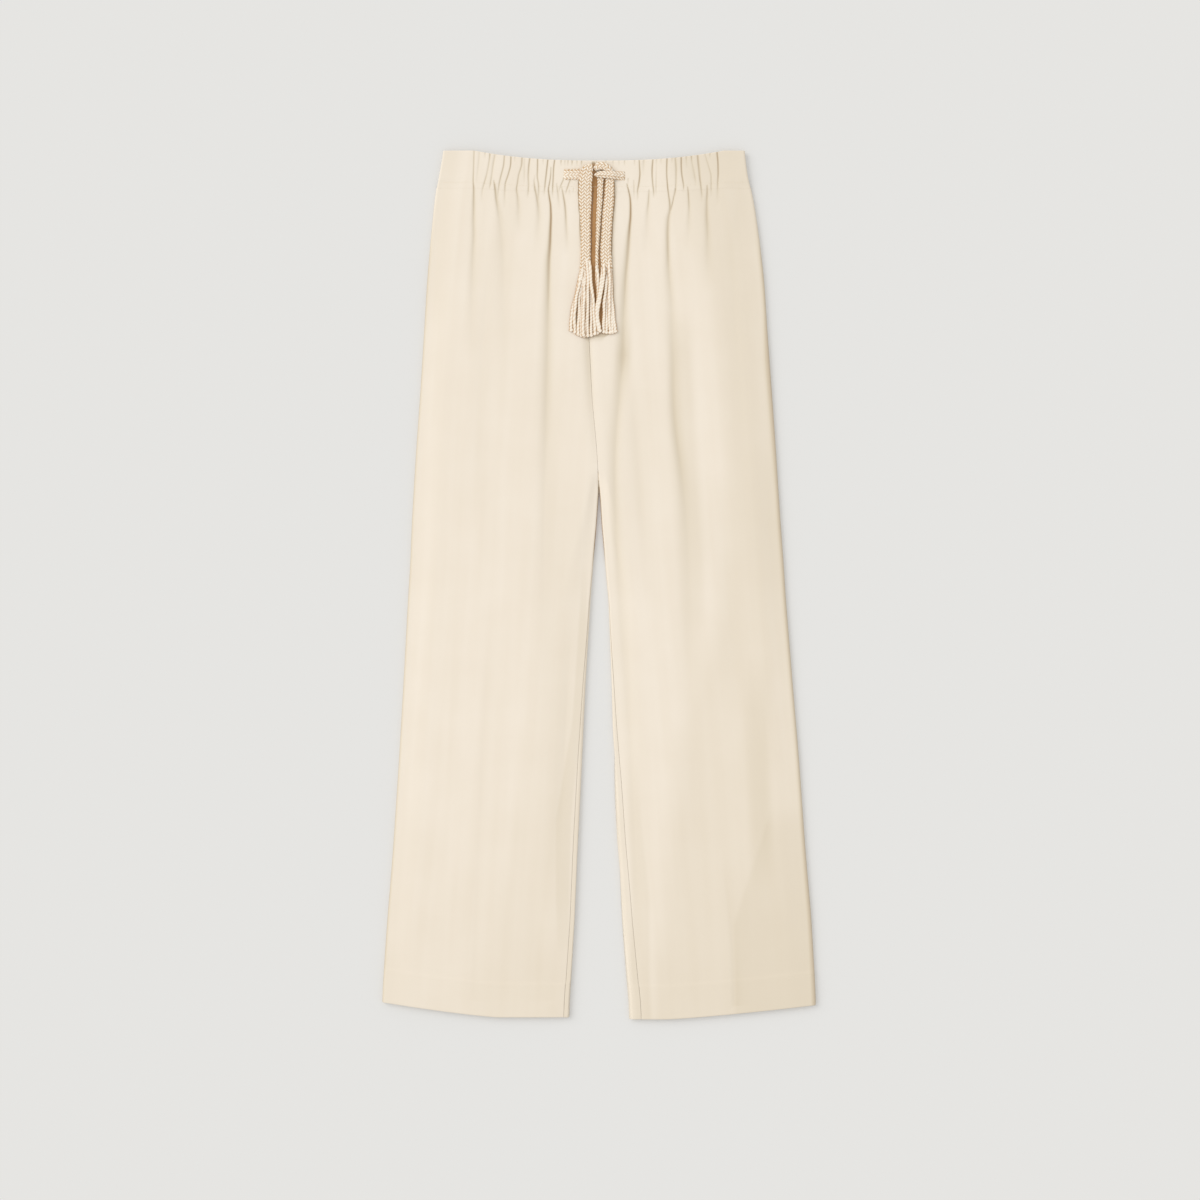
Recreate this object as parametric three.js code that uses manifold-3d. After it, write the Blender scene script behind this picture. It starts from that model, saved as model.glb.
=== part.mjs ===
// Wide-leg trousers laid flat, face up: the waist lies towards +Y and the underside rests on z = 0.
// All sizes are in millimetres. Left and right are those of someone who looks down at the garment.

import * as THREE from 'three';
import { mergeVertices } from 'three/addons/utils/BufferGeometryUtils.js';
import Module from 'manifold-3d';

const wasm = await Module();
wasm.setup();

// ---- Driving dimensions ----

const CLOTH = 1.2; // one layer of cloth
const HEM_CLOTH = 2.0; // the doubled cloth of a turned hem
const HEM_DEPTH = 40;
const CASING = 2.4; // the waist casing with the elastic in it
const SEAM_GAP = 0.3; // between two pieces that are sewn together
const CLOTH_TURN = 2.0; // radius of the turn at a leg's edge
const HEM_TURN = 1.9;
const CASING_TURN = 2.0;

const WAIST_TOP = 521.4; // the waist edge at the side seams
const WAIST_DIP = 12; // how much lower the waist edge is over the gathers
const CASING_FOOT = 477; // the casing's lower edge at the side seams
const CASING_FOOT_DIP = 4.5;
const GATHERED_HALF = 150; // the elastic draws in the front within this distance of the middle
const BACK_CASING_DROP = 1.5; // the back's waist edge is hidden behind the front's
const CROTCH = 161;
const CROTCH_RUN = 30; // the inner leg closes to a tube over this length
const WRAP_RUN = 260; // below the crotch the inseam moves on top of the leg over this length
const HEM_ROW = -520;
const CASING_BLEND = 90; // sections follow the casing's curved edge over this length of the leg
const HEM_BLEND = 170; // and the hem's curved edge over this one

const SHOULDER = 32; // how far from a leg's edge its top reaches full height
const SEAM_SHOULDER = 15; // the same, beside the centre seam
const GATHER_WIDTH = 4.6;
const GATHER_DEPTH = 1.5;
const GATHER_SHARE = 0.55; // how much of the front's puff a gather takes below the casing
const GATHERS_SPREAD = 260; // columns that follow the gathers are even again at this depth
const FOLD_OPENS = 0.08; // share of its length in which a fold reaches its depth
const FOLD_CLOSES = 0.35; // and the share in which it dies out
const WAIST_CURVE = 2.4;
const HEM_CURVE = 1.25;

// The side seams, and the middle between the legs with half of the space between them.
const EDGES = [
  { y: 524, left: -187.3, right: 175.2, middle: -6.6, halfGap: 0.15 },
  { y: 485, left: -193.8, right: 179.6, middle: -7.2, halfGap: 0.15 },
  { y: 461, left: -197.4, right: 185.4, middle: -8.0, halfGap: 0.15 },
  { y: 413, left: -202.4, right: 192.8, middle: -9.4, halfGap: 0.15 },
  { y: 365, left: -206.6, right: 198.4, middle: -11.0, halfGap: 0.15 },
  { y: 300, left: -210.4, right: 202.4, middle: -12.2, halfGap: 0.15 },
  { y: 221, left: -215.4, right: 208.2, middle: -8.2, halfGap: 0.15 },
  { y: 161, left: -219.8, right: 212.4, middle: -3.4, halfGap: 0.15 },
  { y: 148, left: -220.6, right: 213.2, middle: -2.6, halfGap: 1.0 },
  { y: 125, left: -222.0, right: 214.6, middle: -1.5, halfGap: 1.3 },
  { y: 77, left: -224.8, right: 217.8, middle: 0, halfGap: 3.0 },
  { y: 29, left: -226.6, right: 221.4, middle: 0, halfGap: 6.8 },
  { y: -19, left: -229.6, right: 224.4, middle: 0.4, halfGap: 10.8 },
  { y: -115, left: -234.8, right: 232.2, middle: -0.6, halfGap: 15.5 },
  { y: -211, left: -240.4, right: 240.2, middle: -1.6, halfGap: 19.0 },
  { y: -307, left: -246.8, right: 247.0, middle: -1.6, halfGap: 22.8 },
  { y: -403, left: -253.6, right: 254.4, middle: -0.4, halfGap: 27.6 },
  { y: -499, left: -259.6, right: 259.6, middle: 0.6, halfGap: 34.6 },
  { y: -522, left: -260.6, right: 260.4, middle: 0.6, halfGap: 35.4 },
];

// Height of the cloth's middle over the full part of a leg.
const CREST = [
  { y: 524, height: 6.2 },
  { y: 440, height: 6.6 },
  { y: 300, height: 7.0 },
  { y: 100, height: 7.0 },
  { y: -150, height: 6.4 },
  { y: -380, height: 5.8 },
  { y: -470, height: 5.7 },
  { y: -522, height: 5.5 },
];

// Gathers of the waist elastic: where each valley meets the casing's upper and lower edge, how deep
// it is as a share of the deepest, and how far it runs on below the casing.
const GATHERS = [
  { top: -150.6, foot: -150.6, deep: 1.0, runsOn: 60 },
  { top: -142.8, foot: -145.4, deep: 0.5, runsOn: 28 },
  { top: -132.6, foot: -139.6, deep: 0.7, runsOn: 52 },
  { top: -124.8, foot: -130.6, deep: 0.75, runsOn: 60 },
  { top: -114.6, foot: -121.6, deep: 0.8, runsOn: 32 },
  { top: -105.6, foot: -113.0, deep: 0.9, runsOn: 52 },
  { top: -94.2, foot: -100.2, deep: 0.8, runsOn: 68 },
  { top: -83.4, foot: -87.0, deep: 0.8, runsOn: 36 },
  { top: -74.4, foot: -74.4, deep: 0.7, runsOn: 60 },
  { top: -63.6, foot: -66.2, deep: 0.8, runsOn: 28 },
  { top: -55.8, foot: -59.0, deep: 1.0, runsOn: 68 },
  { top: -45.6, foot: -46.2, deep: 0.55, runsOn: 68 },
  { top: -32.4, foot: -36.0, deep: 0.5, runsOn: 48 },
  { top: -20.4, foot: -22.8, deep: 0.4, runsOn: 32 },
  { top: 35.4, foot: 32.4, deep: 0.7, runsOn: 68 },
  { top: 47.4, foot: 45.0, deep: 0.9, runsOn: 28 },
  { top: 56.4, foot: 55.2, deep: 0.6, runsOn: 68 },
  { top: 64.8, foot: 65.4, deep: 0.7, runsOn: 32 },
  { top: 79.8, foot: 83.4, deep: 1.0, runsOn: 68 },
  { top: 89.4, foot: 91.8, deep: 0.7, runsOn: 44 },
  { top: 97.2, foot: 99.6, deep: 0.8, runsOn: 44 },
  { top: 104.4, foot: 107.4, deep: 0.8, runsOn: 64 },
  { top: 117.0, foot: 120.6, deep: 0.8, runsOn: 32 },
  { top: 128.4, foot: 128.4, deep: 0.7, runsOn: 68 },
  { top: 141.0, foot: 141.0, deep: 0.9, runsOn: 40 },
];

// Folds of the front, each a trough through three places: at its upper end, half way and at its
// lower end. Deep is the share of the puff's height that it takes.
const LEFT_FOLDS = [
  { from: 480, to: 262, upper: -150.4, half: -150.6, lower: -154, width: 9, deep: 0.75 },
  { from: 482, to: 214, upper: -128, half: -115, lower: -115, width: 19, deep: 0.55 },
  { from: 470, to: 400, upper: -99, half: -97, lower: -96, width: 12, deep: 0.4 },
  { from: 480, to: 390, upper: -80, half: -73, lower: -74, width: 11, deep: 0.45 },
  { from: 482, to: 40, upper: -60, half: -62, lower: -69, width: 17, deep: 0.85 },
  { from: 80, to: -330, upper: -56, half: -47, lower: -50, width: 34, deep: 0.35 },
  { from: -360, to: -500, upper: -78, half: -70, lower: -62, width: 24, deep: 0.25 },
  { from: 470, to: 395, upper: -44, half: -40, lower: -38, width: 10, deep: 0.4 },
  { from: -20, to: -500, upper: -124, half: -142, lower: -158, width: 12, deep: 0.2 },
];

const RIGHT_FOLDS = [
  { from: 478, to: 88, upper: 38, half: 27, lower: 17.5, width: 19, deep: 0.85 },
  { from: 120, to: -360, upper: 17.5, half: 29, lower: 49, width: 28, deep: 0.5 },
  { from: 478, to: 50, upper: 83, half: 85.5, lower: 103, width: 19, deep: 0.8 },
  { from: 470, to: 395, upper: 58, half: 59, lower: 60, width: 11, deep: 0.35 },
  { from: 480, to: 365, upper: 129, half: 126.6, lower: 129, width: 11, deep: 0.45 },
  { from: 230, to: 60, upper: 44, half: 50, lower: 57, width: 26, deep: 0.3 },
  { from: -340, to: -505, upper: 152, half: 158, lower: 165, width: 12, deep: 0.2 },
];

const LEGS = {
  left: {
    side: 'left', inward: 1, folds: LEFT_FOLDS, hemLow: -519, hemRise: 18, hemReach: 140, wrap: 5,
  },
  right: {
    side: 'right', inward: -1, folds: RIGHT_FOLDS, hemLow: -521.4, hemRise: 17, hemReach: 180, wrap: 10,
  },
};

// Places along a leg where its section is drawn, from the casing to the hem.
const LEG_ROWS = [
  474, 462, 446, 420, 380, 330, 270, 205, CROTCH, 148, CROTCH - CROTCH_RUN, 80, 0, -110, -230, -350,
  HEM_ROW + HEM_DEPTH + 1.5, HEM_ROW + HEM_DEPTH, HEM_ROW,
];
const EDGE_RUN = 8; // the part of a panel that is drawn with each turn at its edge
const TURN_BEND = 1.7; // draws points closer together in the turn than beside it
// How many steps each stretch of a section has.
const FRONT_TURN_STEPS = 5;
const BESIDE_GATHERS_STEPS = 5;
const BACK_TURN_STEPS = 3;
const BACK_FLOOR_STEPS = 7;
const BACK_INSEAM_STEPS = 10;
const CASING_ROWS = [0, 0.25, 0.5, 0.75, 1]; // shares of the casing's height

// ---- Small helpers ----

const QUARTER = Math.PI / 2;
const mix = (a, b, share) => a + (b - a) * share;

function smooth(share) {
  const s = Math.min(1, Math.max(0, share));
  return s * s * (3 - 2 * s);
}

// The value of one column of a table at a height y, on straight lines between its rows.
function valueAt(table, column, y) {
  let row = 0;
  while (row < table.length - 2 && table[row + 1].y > y) row += 1;
  const share = (table[row].y - y) / (table[row].y - table[row + 1].y);
  return mix(table[row][column], table[row + 1][column], Math.min(1, Math.max(0, share)));
}

const outerEdge = (leg, y) => valueAt(EDGES, leg.side, y);
const innerEdge = (leg, y) => valueAt(EDGES, 'middle', y) - leg.inward * valueAt(EDGES, 'halfGap', y);

const flatShare = (x) => Math.min(1, Math.abs(x) / GATHERED_HALF) ** WAIST_CURVE;
const waistEdge = (x) => WAIST_TOP - WAIST_DIP * (1 - flatShare(x));
const casingFoot = (x) => CASING_FOOT - CASING_FOOT_DIP * (1 - flatShare(x));

function hemEdge(leg, across) {
  return leg.hemLow + leg.hemRise * Math.max(0, 1 - across / leg.hemReach) ** HEM_CURVE;
}

// A closed wall between two grids of points that have the same rows and columns.
function closedWall(outside, inside) {
  const rows = outside.length;
  const columns = outside[0].length;
  const positions = [...outside.flat(2), ...inside.flat(2)];
  const back = rows * columns;
  const triangles = [];
  const quad = (a, b, c, d) => triangles.push(a, b, c, a, c, d);
  for (let r = 0; r < rows - 1; r += 1) {
    for (let c = 0; c < columns - 1; c += 1) {
      const at = r * columns + c;
      quad(at, at + columns, at + columns + 1, at + 1);
      quad(back + at, back + at + 1, back + at + columns + 1, back + at + columns);
    }
  }
  const last = (rows - 1) * columns;
  for (let c = 0; c < columns - 1; c += 1) {
    quad(c + 1, back + c + 1, back + c, c);
    quad(last + c, back + last + c, back + last + c + 1, last + c + 1);
  }
  for (let r = 0; r < rows - 1; r += 1) {
    const at = r * columns;
    const end = at + columns - 1;
    quad(at, back + at, back + at + columns, at + columns);
    quad(end + columns, back + end + columns, back + end, end);
  }
  const geometry = new THREE.BufferGeometry();
  geometry.setAttribute('position', new THREE.Float32BufferAttribute(positions, 3));
  geometry.setIndex(triangles);
  return geometry;
}

// Turns a mesh inside out where its volume is negative.
function facingOut(geometry) {
  const index = geometry.getIndex().array;
  const place = geometry.getAttribute('position');
  const corner = [new THREE.Vector3(), new THREE.Vector3(), new THREE.Vector3()];
  let volume = 0;
  for (let i = 0; i < index.length; i += 3) {
    corner.forEach((point, k) => point.fromBufferAttribute(place, index[i + k]));
    volume += corner[0].dot(corner[1].cross(corner[2]));
  }
  if (volume < 0) {
    for (let i = 0; i < index.length; i += 3) {
      [index[i + 1], index[i + 2]] = [index[i + 2], index[i + 1]];
    }
  }
  return geometry;
}

// ---- Shape of the legs ----

// How far a place is inside a fold, from 0 beside it to 1 in the middle of its trough.
function inFold(fold, x, y) {
  const a = (fold.from - y) / (fold.from - fold.to);
  if (a < 0 || a > 1) return 0;
  const centre = fold.upper * (1 - a) * (1 - 2 * a) + fold.half * 4 * a * (1 - a)
    + fold.lower * a * (2 * a - 1);
  const fade = smooth(a / FOLD_OPENS) * smooth((1 - a) / FOLD_CLOSES);
  return fade * Math.exp(-(((x - centre) / (fold.width / 2)) ** 2));
}

function inGather(x, centre) {
  return Math.exp(-(((x - centre) / (GATHER_WIDTH / 2)) ** 2));
}

// Everything that one section of a leg needs, at the height y of its row.
function legSection(leg, y) {
  const hem = y <= HEM_ROW + HEM_DEPTH;
  const cloth = hem ? HEM_CLOTH : CLOTH;
  const radius = hem ? HEM_TURN : CLOTH_TURN;
  const width = Math.abs(innerEdge(leg, y) - outerEdge(leg, y));
  const closed = smooth((CROTCH - y) / CROTCH_RUN);
  const turnUp = radius * QUARTER;
  const outerCentre = cloth / 2 + radius;
  return {
    leg, y, cloth, radius, width, closed, turnUp, outerCentre,
    innerCentre: width - closed * outerCentre,
    wrap: smooth((CROTCH - CROTCH_RUN - y) / WRAP_RUN) * (turnUp + leg.wrap),
  };
}

// The garment's frame from a place across a leg, measured inwards from its side seam.
function placeOf(section, across) {
  const { leg, y } = section;
  const x = outerEdge(leg, y) + leg.inward * across;
  const atCasing = smooth((y - LEG_ROWS[0] + CASING_BLEND) / CASING_BLEND);
  const atHem = smooth((HEM_ROW + HEM_DEPTH + HEM_BLEND - y) / HEM_BLEND);
  const lift = atCasing * (casingFoot(x) - SEAM_GAP - LEG_ROWS[0]);
  const drop = atHem * (hemEdge(leg, across) - HEM_ROW);
  return { x, y: y + lift + drop };
}

// Height of the middle of the front's cloth: a puff between the two edges, less its folds.
function frontHeight(section, across) {
  const { leg, cloth, radius, width, closed, outerCentre } = section;
  const { x, y } = placeOf(section, across);
  const low = cloth / 2 + 2 * radius;
  const fromOuter = smooth((across - outerCentre) / SHOULDER);
  const innerReach = mix(SEAM_SHOULDER, SHOULDER, closed);
  const fromInner = smooth((width - across - closed * outerCentre) / innerReach);
  let puff = (valueAt(CREST, 'height', y) - low) * fromOuter * fromInner;
  for (const fold of leg.folds) {
    puff *= 1 - fold.deep * inFold(fold, x, y);
  }
  for (const gather of GATHERS) {
    const runsOn = smooth((y - casingFoot(x) + gather.runsOn) / gather.runsOn);
    puff *= 1 - GATHER_SHARE * gather.deep * runsOn * inGather(x, gather.foot);
  }
  return low + puff;
}

// A point on top of a leg, with the direction that faces out of the cloth there.
function topPoint(section, across) {
  const rise = frontHeight(section, across + 0.5) - frontHeight(section, across - 0.5);
  const length = Math.hypot(1, rise);
  return { across, z: frontHeight(section, across), out: [-rise / length, 1 / length] };
}

// A point of a leg's middle line where it turns over an edge. The way is measured along the line
// from the outermost point of the turn, up over the top or down to the floor.
function turnPoint(section, way, atOuterEdge) {
  const { radius, turnUp, outerCentre, innerCentre, cloth } = section;
  const outward = atOuterEdge ? -1 : 1;
  const centre = atOuterEdge ? outerCentre : innerCentre;
  const beyond = Math.abs(way) - turnUp;
  if (beyond > 0) {
    const across = centre - outward * beyond;
    return way > 0 ? topPoint(section, across) : { across, z: cloth / 2, out: [0, -1] };
  }
  const angle = way / radius;
  const out = [outward * Math.cos(angle), Math.sin(angle)];
  return { across: centre + radius * out[0], z: cloth / 2 + radius * (1 + out[1]), out };
}

// Evenly spaced numbers, or closer together near the first one where bend is over 1.
function steps(from, to, count, bend = 1) {
  return Array.from({ length: count + 1 }, (_, i) => mix(from, to, (i / count) ** bend));
}

// Where the inseam lies on the inner turn: half way up at the crotch and on top further down.
function inseamWay(section, panelGap) {
  const sewn = section.wrap + panelGap;
  return mix(Math.sign(panelGap) * section.turnUp, sewn, section.closed);
}

// Columns of the front between its turned edges: at the casing they follow the gathers' valleys and
// the ridges between them, and towards the hem they spread evenly.
function frontColumns(section, from, to) {
  const { leg, y } = section;
  const gathers = GATHERS.filter((gather) => Math.sign(gather.foot) === -leg.inward);
  const valleys = gathers.map((gather) => leg.inward * (gather.foot - outerEdge(leg, y)));
  valleys.sort((a, b) => a - b);
  const banks = valleys.flatMap((valley, i) => (
    i === 0 ? [valley - GATHER_WIDTH, valley] : [(valley + valleys[i - 1]) / 2, valley]
  ));
  const first = steps(from, banks[0], BESIDE_GATHERS_STEPS);
  const last = steps(banks.at(-1), to, BESIDE_GATHERS_STEPS);
  const gathered = [...first.slice(0, -1), ...banks, ...last.slice(1)];
  const even = steps(from, to, gathered.length - 1);
  const spread = smooth((LEG_ROWS[0] - y) / GATHERS_SPREAD);
  return gathered.map((place, i) => mix(place, even[i], spread));
}

function frontLine(section) {
  const { turnUp, outerCentre, innerCentre } = section;
  const seam = inseamWay(section, SEAM_GAP / 2);
  const innerRun = Math.max(turnUp, seam) + EDGE_RUN;
  const outer = steps(SEAM_GAP / 2, turnUp + EDGE_RUN, FRONT_TURN_STEPS, TURN_BEND);
  const inner = steps(seam, innerRun, FRONT_TURN_STEPS, TURN_BEND).reverse();
  const columns = frontColumns(section, outerCentre + EDGE_RUN, innerCentre + turnUp - innerRun);
  return [
    ...outer.map((way) => turnPoint(section, way, true)),
    ...columns.slice(1, -1).map((across) => topPoint(section, across)),
    ...inner.map((way) => turnPoint(section, way, false)),
  ];
}

function backLine(section) {
  const { turnUp, closed, outerCentre, innerCentre, cloth } = section;
  const openRun = EDGE_RUN * (1 - closed);
  const outer = steps(-SEAM_GAP / 2, -turnUp, BACK_TURN_STEPS);
  const columns = steps(outerCentre, innerCentre - openRun, BACK_FLOOR_STEPS);
  const seam = inseamWay(section, -SEAM_GAP / 2);
  const inner = steps(-turnUp - openRun, seam, BACK_INSEAM_STEPS, TURN_BEND);
  return [
    ...outer.map((way) => turnPoint(section, way, true)),
    ...columns.slice(1, -1).map((across) => ({ across, z: cloth / 2, out: [0, -1] })),
    ...inner.map((way) => turnPoint(section, way, false)),
  ];
}

const movedOut = (line, distance) => line.map(({ across, z, out }) => (
  { across: across + distance * out[0], z: z + distance * out[1] }
));

function legPanel(leg, lineOf) {
  const sheet = (sideways) => LEG_ROWS.map((y) => {
    const section = legSection(leg, y);
    return movedOut(lineOf(section), (sideways * section.cloth) / 2).map((point) => {
      const place = placeOf(section, point.across);
      return [place.x, place.y, point.z];
    });
  });
  return facingOut(closedWall(sheet(1), sheet(-1)));
}

// ---- Waist casing ----

const CASING_SHOULDER = 60; // from the side seam to where the gathers lift the casing
const CASING_LIFT = 1.0;
const CASING_TURN_STEPS = 4;
const CASING_END_STEPS = 3;
const BACK_CASING_STEPS = 14;

function casingColumns(share, left, right) {
  const valleys = GATHERS.map((gather) => mix(gather.top, gather.foot, share) - left);
  const bank = GATHER_WIDTH / 2;
  const gathered = valleys.flatMap((valley) => [valley - bank, valley, valley + bank]);
  const start = CASING / 2 + CASING_TURN;
  const end = right - left - start;
  return [
    ...steps(start, gathered[0], CASING_END_STEPS).slice(0, -1),
    ...gathered,
    ...steps(gathered.at(-1), end, CASING_END_STEPS).slice(1),
  ];
}

// Height that the gathers add to the casing's face, over its plain inside.
function casingRelief(x, across, width, share) {
  let relief = CASING_LIFT * smooth(Math.min(across, width - across) / CASING_SHOULDER);
  for (const gather of GATHERS) {
    const centre = mix(gather.top, gather.foot, share);
    relief -= GATHER_DEPTH * gather.deep * inGather(x, centre);
  }
  return relief;
}

// One side of the casing, from side seam to side seam. The front lies over the turns' upper half
// and carries the gathers; the back lies on the floor below it.
function casingPiece(isFront) {
  const up = isFront ? 1 : -1;
  const sheet = (sideways) => CASING_ROWS.map((share) => {
    const level = mix(WAIST_TOP, CASING_FOOT, share);
    const left = valueAt(EDGES, 'left', level);
    const width = valueAt(EDGES, 'right', level) - left;
    const middle = CASING / 2 + CASING_TURN;
    const seam = (up * SEAM_GAP) / 2 / CASING_TURN;
    const turn = steps(seam, up * QUARTER, CASING_TURN_STEPS).map((angle) => {
      const out = [-Math.cos(angle), Math.sin(angle)];
      return { across: middle + CASING_TURN * out[0], z: middle + CASING_TURN * out[1], out };
    });
    const columns = isFront
      ? casingColumns(share, left, left + width)
      : steps(middle, width - middle, BACK_CASING_STEPS);
    const line = [
      ...turn,
      ...columns.slice(1, -1).map((across) => ({ across, z: middle + up * CASING_TURN, out: [0, up] })),
      ...turn.toReversed().map(({ across, z, out }) => (
        { across: width - across, z, out: [-out[0], out[1]] }
      )),
    ];
    return movedOut(line, (sideways * CASING) / 2).map(({ across, z }) => {
      const x = left + across;
      const top = waistEdge(x) - (isFront ? 0 : BACK_CASING_DROP);
      const raised = isFront && sideways > 0 ? casingRelief(x, across, width, share) : 0;
      return [x, mix(top, casingFoot(x), share), z + raised];
    });
  });
  return facingOut(closedWall(sheet(1), sheet(-1)));
}

// ---- Drawstring ----

const TAPE = 2.0; // thickness of the flat braid
const STRAND_WIDE = 3.1;
const STRAND_THICK = 2.0;
const HEAD_LONG = 9; // the gathered end of a tape that a tassel's strands grow from
const ROOT_DEEP = 5; // how far a strand's root reaches into the head
const SETTLING = 0.3; // the share of its length over which a strand comes down to its last layer
const SPREAD_START = 0.1; // a strand leaves its head with this much of its spread
const SPREAD_RATE = 0.85;
const TIP_START = 0.95; // the share of a strand's length where its slimmer tip starts
const TIP_SLIM = 0.8;
const STRAND_STEPS = 6;
const HEAD_STEPS = 2;
const TAPE_STEPS = 2; // between two points of a route
const WRAP_STEPS = 8;
const TAPE_CROWN = 0.9; // height of a braid's section near its edges, beside its middle

// Routes of the middle of each tape, with its width there. Chosen by hand.
const TAPES = {
  // Out of the left buttonhole and under the head of the left tail.
  drawstring_left_run: [
    { x: -41.4, y: 493.2, z: 8.5, wide: 14.0 },
    { x: -36.0, y: 493.4, z: 8.6, wide: 15.0 },
    { x: -28.0, y: 493.2, z: 8.6, wide: 15.0 },
    { x: -20.0, y: 493.0, z: 8.6, wide: 15.0 },
    { x: -12.0, y: 493.0, z: 8.6, wide: 14.0 },
  ],
  drawstring_left_tail: [
    { x: -13.6, y: 503.6, z: 10.7, wide: 11.0 },
    { x: -14.4, y: 498.0, z: 11.0, wide: 14.0 },
    { x: -15.4, y: 490.0, z: 11.0, wide: 15.4 },
    { x: -16.0, y: 482.0, z: 10.4, wide: 14.6 },
    { x: -16.2, y: 474.0, z: 9.2, wide: 14.4 },
    { x: -16.2, y: 464.0, z: 8.6, wide: 14.2 },
    { x: -16.3, y: 452.0, z: 8.5, wide: 13.4 },
    { x: -16.4, y: 440.0, z: 8.6, wide: 12.8 },
    { x: -16.4, y: 428.0, z: 8.6, wide: 12.4 },
    { x: -16.2, y: 416.0, z: 8.7, wide: 12.2 },
    { x: -16.2, y: 404.0, z: 8.9, wide: 12.2 },
  ],
  // The ply of the right end that hangs beside it, turned on its edge.
  drawstring_inner_tail: [
    { x: 2.0, y: 489.4, z: 8.8, wide: 8.0 },
    { x: 1.4, y: 482.0, z: 9.0, wide: 7.4 },
    { x: 0.6, y: 472.0, z: 8.8, wide: 7.0 },
    { x: 0.0, y: 461.0, z: 8.5, wide: 6.8 },
    { x: -0.8, y: 449.0, z: 8.4, wide: 6.4 },
    { x: -1.4, y: 437.0, z: 8.4, wide: 6.2 },
    { x: -2.0, y: 424.0, z: 8.5, wide: 6.0 },
    { x: -2.6, y: 412.0, z: 8.7, wide: 6.0 },
    { x: -3.0, y: 402.0, z: 8.9, wide: 6.0 },
  ],
  drawstring_right_tail: [
    { x: 12.8, y: 490.0, z: 8.8, wide: 10.6 },
    { x: 12.6, y: 482.0, z: 9.0, wide: 11.0 },
    { x: 12.2, y: 472.0, z: 8.8, wide: 11.4 },
    { x: 12.0, y: 461.0, z: 8.6, wide: 11.6 },
    { x: 11.2, y: 449.0, z: 8.6, wide: 11.6 },
    { x: 10.2, y: 437.0, z: 8.6, wide: 11.6 },
    { x: 9.2, y: 425.0, z: 8.7, wide: 11.8 },
    { x: 8.4, y: 414.0, z: 8.7, wide: 12.0 },
    { x: 8.0, y: 404.0, z: 8.9, wide: 12.2 },
  ],
  // Folded lengthwise out of the right buttonhole and over the heads of the tails.
  drawstring_bar: [
    { x: 30.6, y: 491.0, z: 8.5, wide: 12.4 },
    { x: 26.0, y: 491.2, z: 9.2, wide: 11.8 },
    { x: 20.0, y: 491.6, z: 11.1, wide: 10.2 },
    { x: 13.0, y: 492.0, z: 11.8, wide: 9.0 },
    { x: 6.0, y: 492.2, z: 11.9, wide: 8.6 },
    { x: 0.0, y: 492.2, z: 11.8, wide: 8.2 },
    { x: -4.8, y: 492.0, z: 11.4, wide: 6.4 },
  ],
};

// The turn of tape that stands up behind the bar, from under it over its fold and down.
const WRAP = [
  { x: 3.6, y: 491.6, z: 9.0, wide: 19.0 },
  { x: 3.6, y: 495.0, z: 9.5, wide: 20.4 },
  { x: 3.6, y: 499.0, z: 10.1, wide: 20.4 },
  { x: 3.4, y: 502.4, z: 9.9, wide: 18.6 },
  { x: 3.4, y: 504.2, z: 8.8, wide: 17.0 },
];

// A tassel's strands: where each grows from its head, where it ends, and the layer that it leaves
// the head in and settles to. Settles is the share of the length at which it starts to come down.
const TASSELS = {
  tassel_left: {
    head: { x: -16.2, y: 403.6, wide: 14.6 },
    settles: 0.55,
    strands: [
      { root: -21.6, tip: -33.8, end: 304, from: 0, to: 0 },
      { root: -20.4, tip: -30.2, end: 302, from: 1, to: 0 },
      { root: -18.9, tip: -26.6, end: 299, from: 0, to: 0 },
      { root: -17.6, tip: -23.0, end: 298, from: 1, to: 0 },
      { root: -16.2, tip: -19.4, end: 297, from: 0, to: 0 },
      { root: -14.8, tip: -15.8, end: 296, from: 1, to: 0 },
      { root: -13.5, tip: -12.2, end: 297, from: 0, to: 0 },
      { root: -12.2, tip: -8.8, end: 299, from: 1, to: 0 },
      { root: -10.8, tip: -5.4, end: 302, from: 0, to: 0 },
    ],
  },
  tassel_inner: {
    head: { x: -3.0, y: 401.6, wide: 7.0 },
    settles: 0.45,
    strands: [
      { root: -5.0, tip: -1.6, end: 303, from: 1, to: 0 },
      { root: -3.8, tip: 2.0, end: 300, from: 0, to: 0 },
      { root: -2.2, tip: 5.6, end: 299, from: 1, to: 0 },
      { root: -1.0, tip: 9.2, end: 301, from: 0, to: 0 },
    ],
  },
  tassel_right: {
    head: { x: 8.2, y: 403.6, wide: 14.0 },
    settles: 0.68,
    strands: [
      { root: 3.0, tip: 4.2, end: 304, from: 2, to: 1 },
      { root: 5.2, tip: 7.8, end: 301, from: 2, to: 1 },
      { root: 7.4, tip: 11.2, end: 300, from: 2, to: 1 },
      { root: 9.4, tip: 14.2, end: 299, from: 1, to: 0 },
      { root: 11.4, tip: 17.8, end: 301, from: 0, to: 0 },
      { root: 13.4, tip: 21.4, end: 303, from: 1, to: 0 },
    ],
  },
};
const STRAND_LEVELS = [8.85, 10.95, 13.05]; // height of each layer's middle

// A closed solid through rings that all have the same number of points.
function closedLoft(rings) {
  const sides = rings[0].length;
  const triangles = [];
  for (let r = 0; r < rings.length - 1; r += 1) {
    for (let k = 0; k < sides; k += 1) {
      const a = r * sides + k;
      const b = r * sides + ((k + 1) % sides);
      triangles.push(a, b, b + sides, a, b + sides, a + sides);
    }
  }
  const end = (rings.length - 1) * sides;
  for (let k = 1; k < sides - 1; k += 1) {
    triangles.push(0, k + 1, k, end, end + k, end + k + 1);
  }
  const geometry = new THREE.BufferGeometry();
  geometry.setAttribute('position', new THREE.Float32BufferAttribute(rings.flat(2), 3));
  geometry.setIndex(triangles);
  return facingOut(geometry);
}

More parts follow.
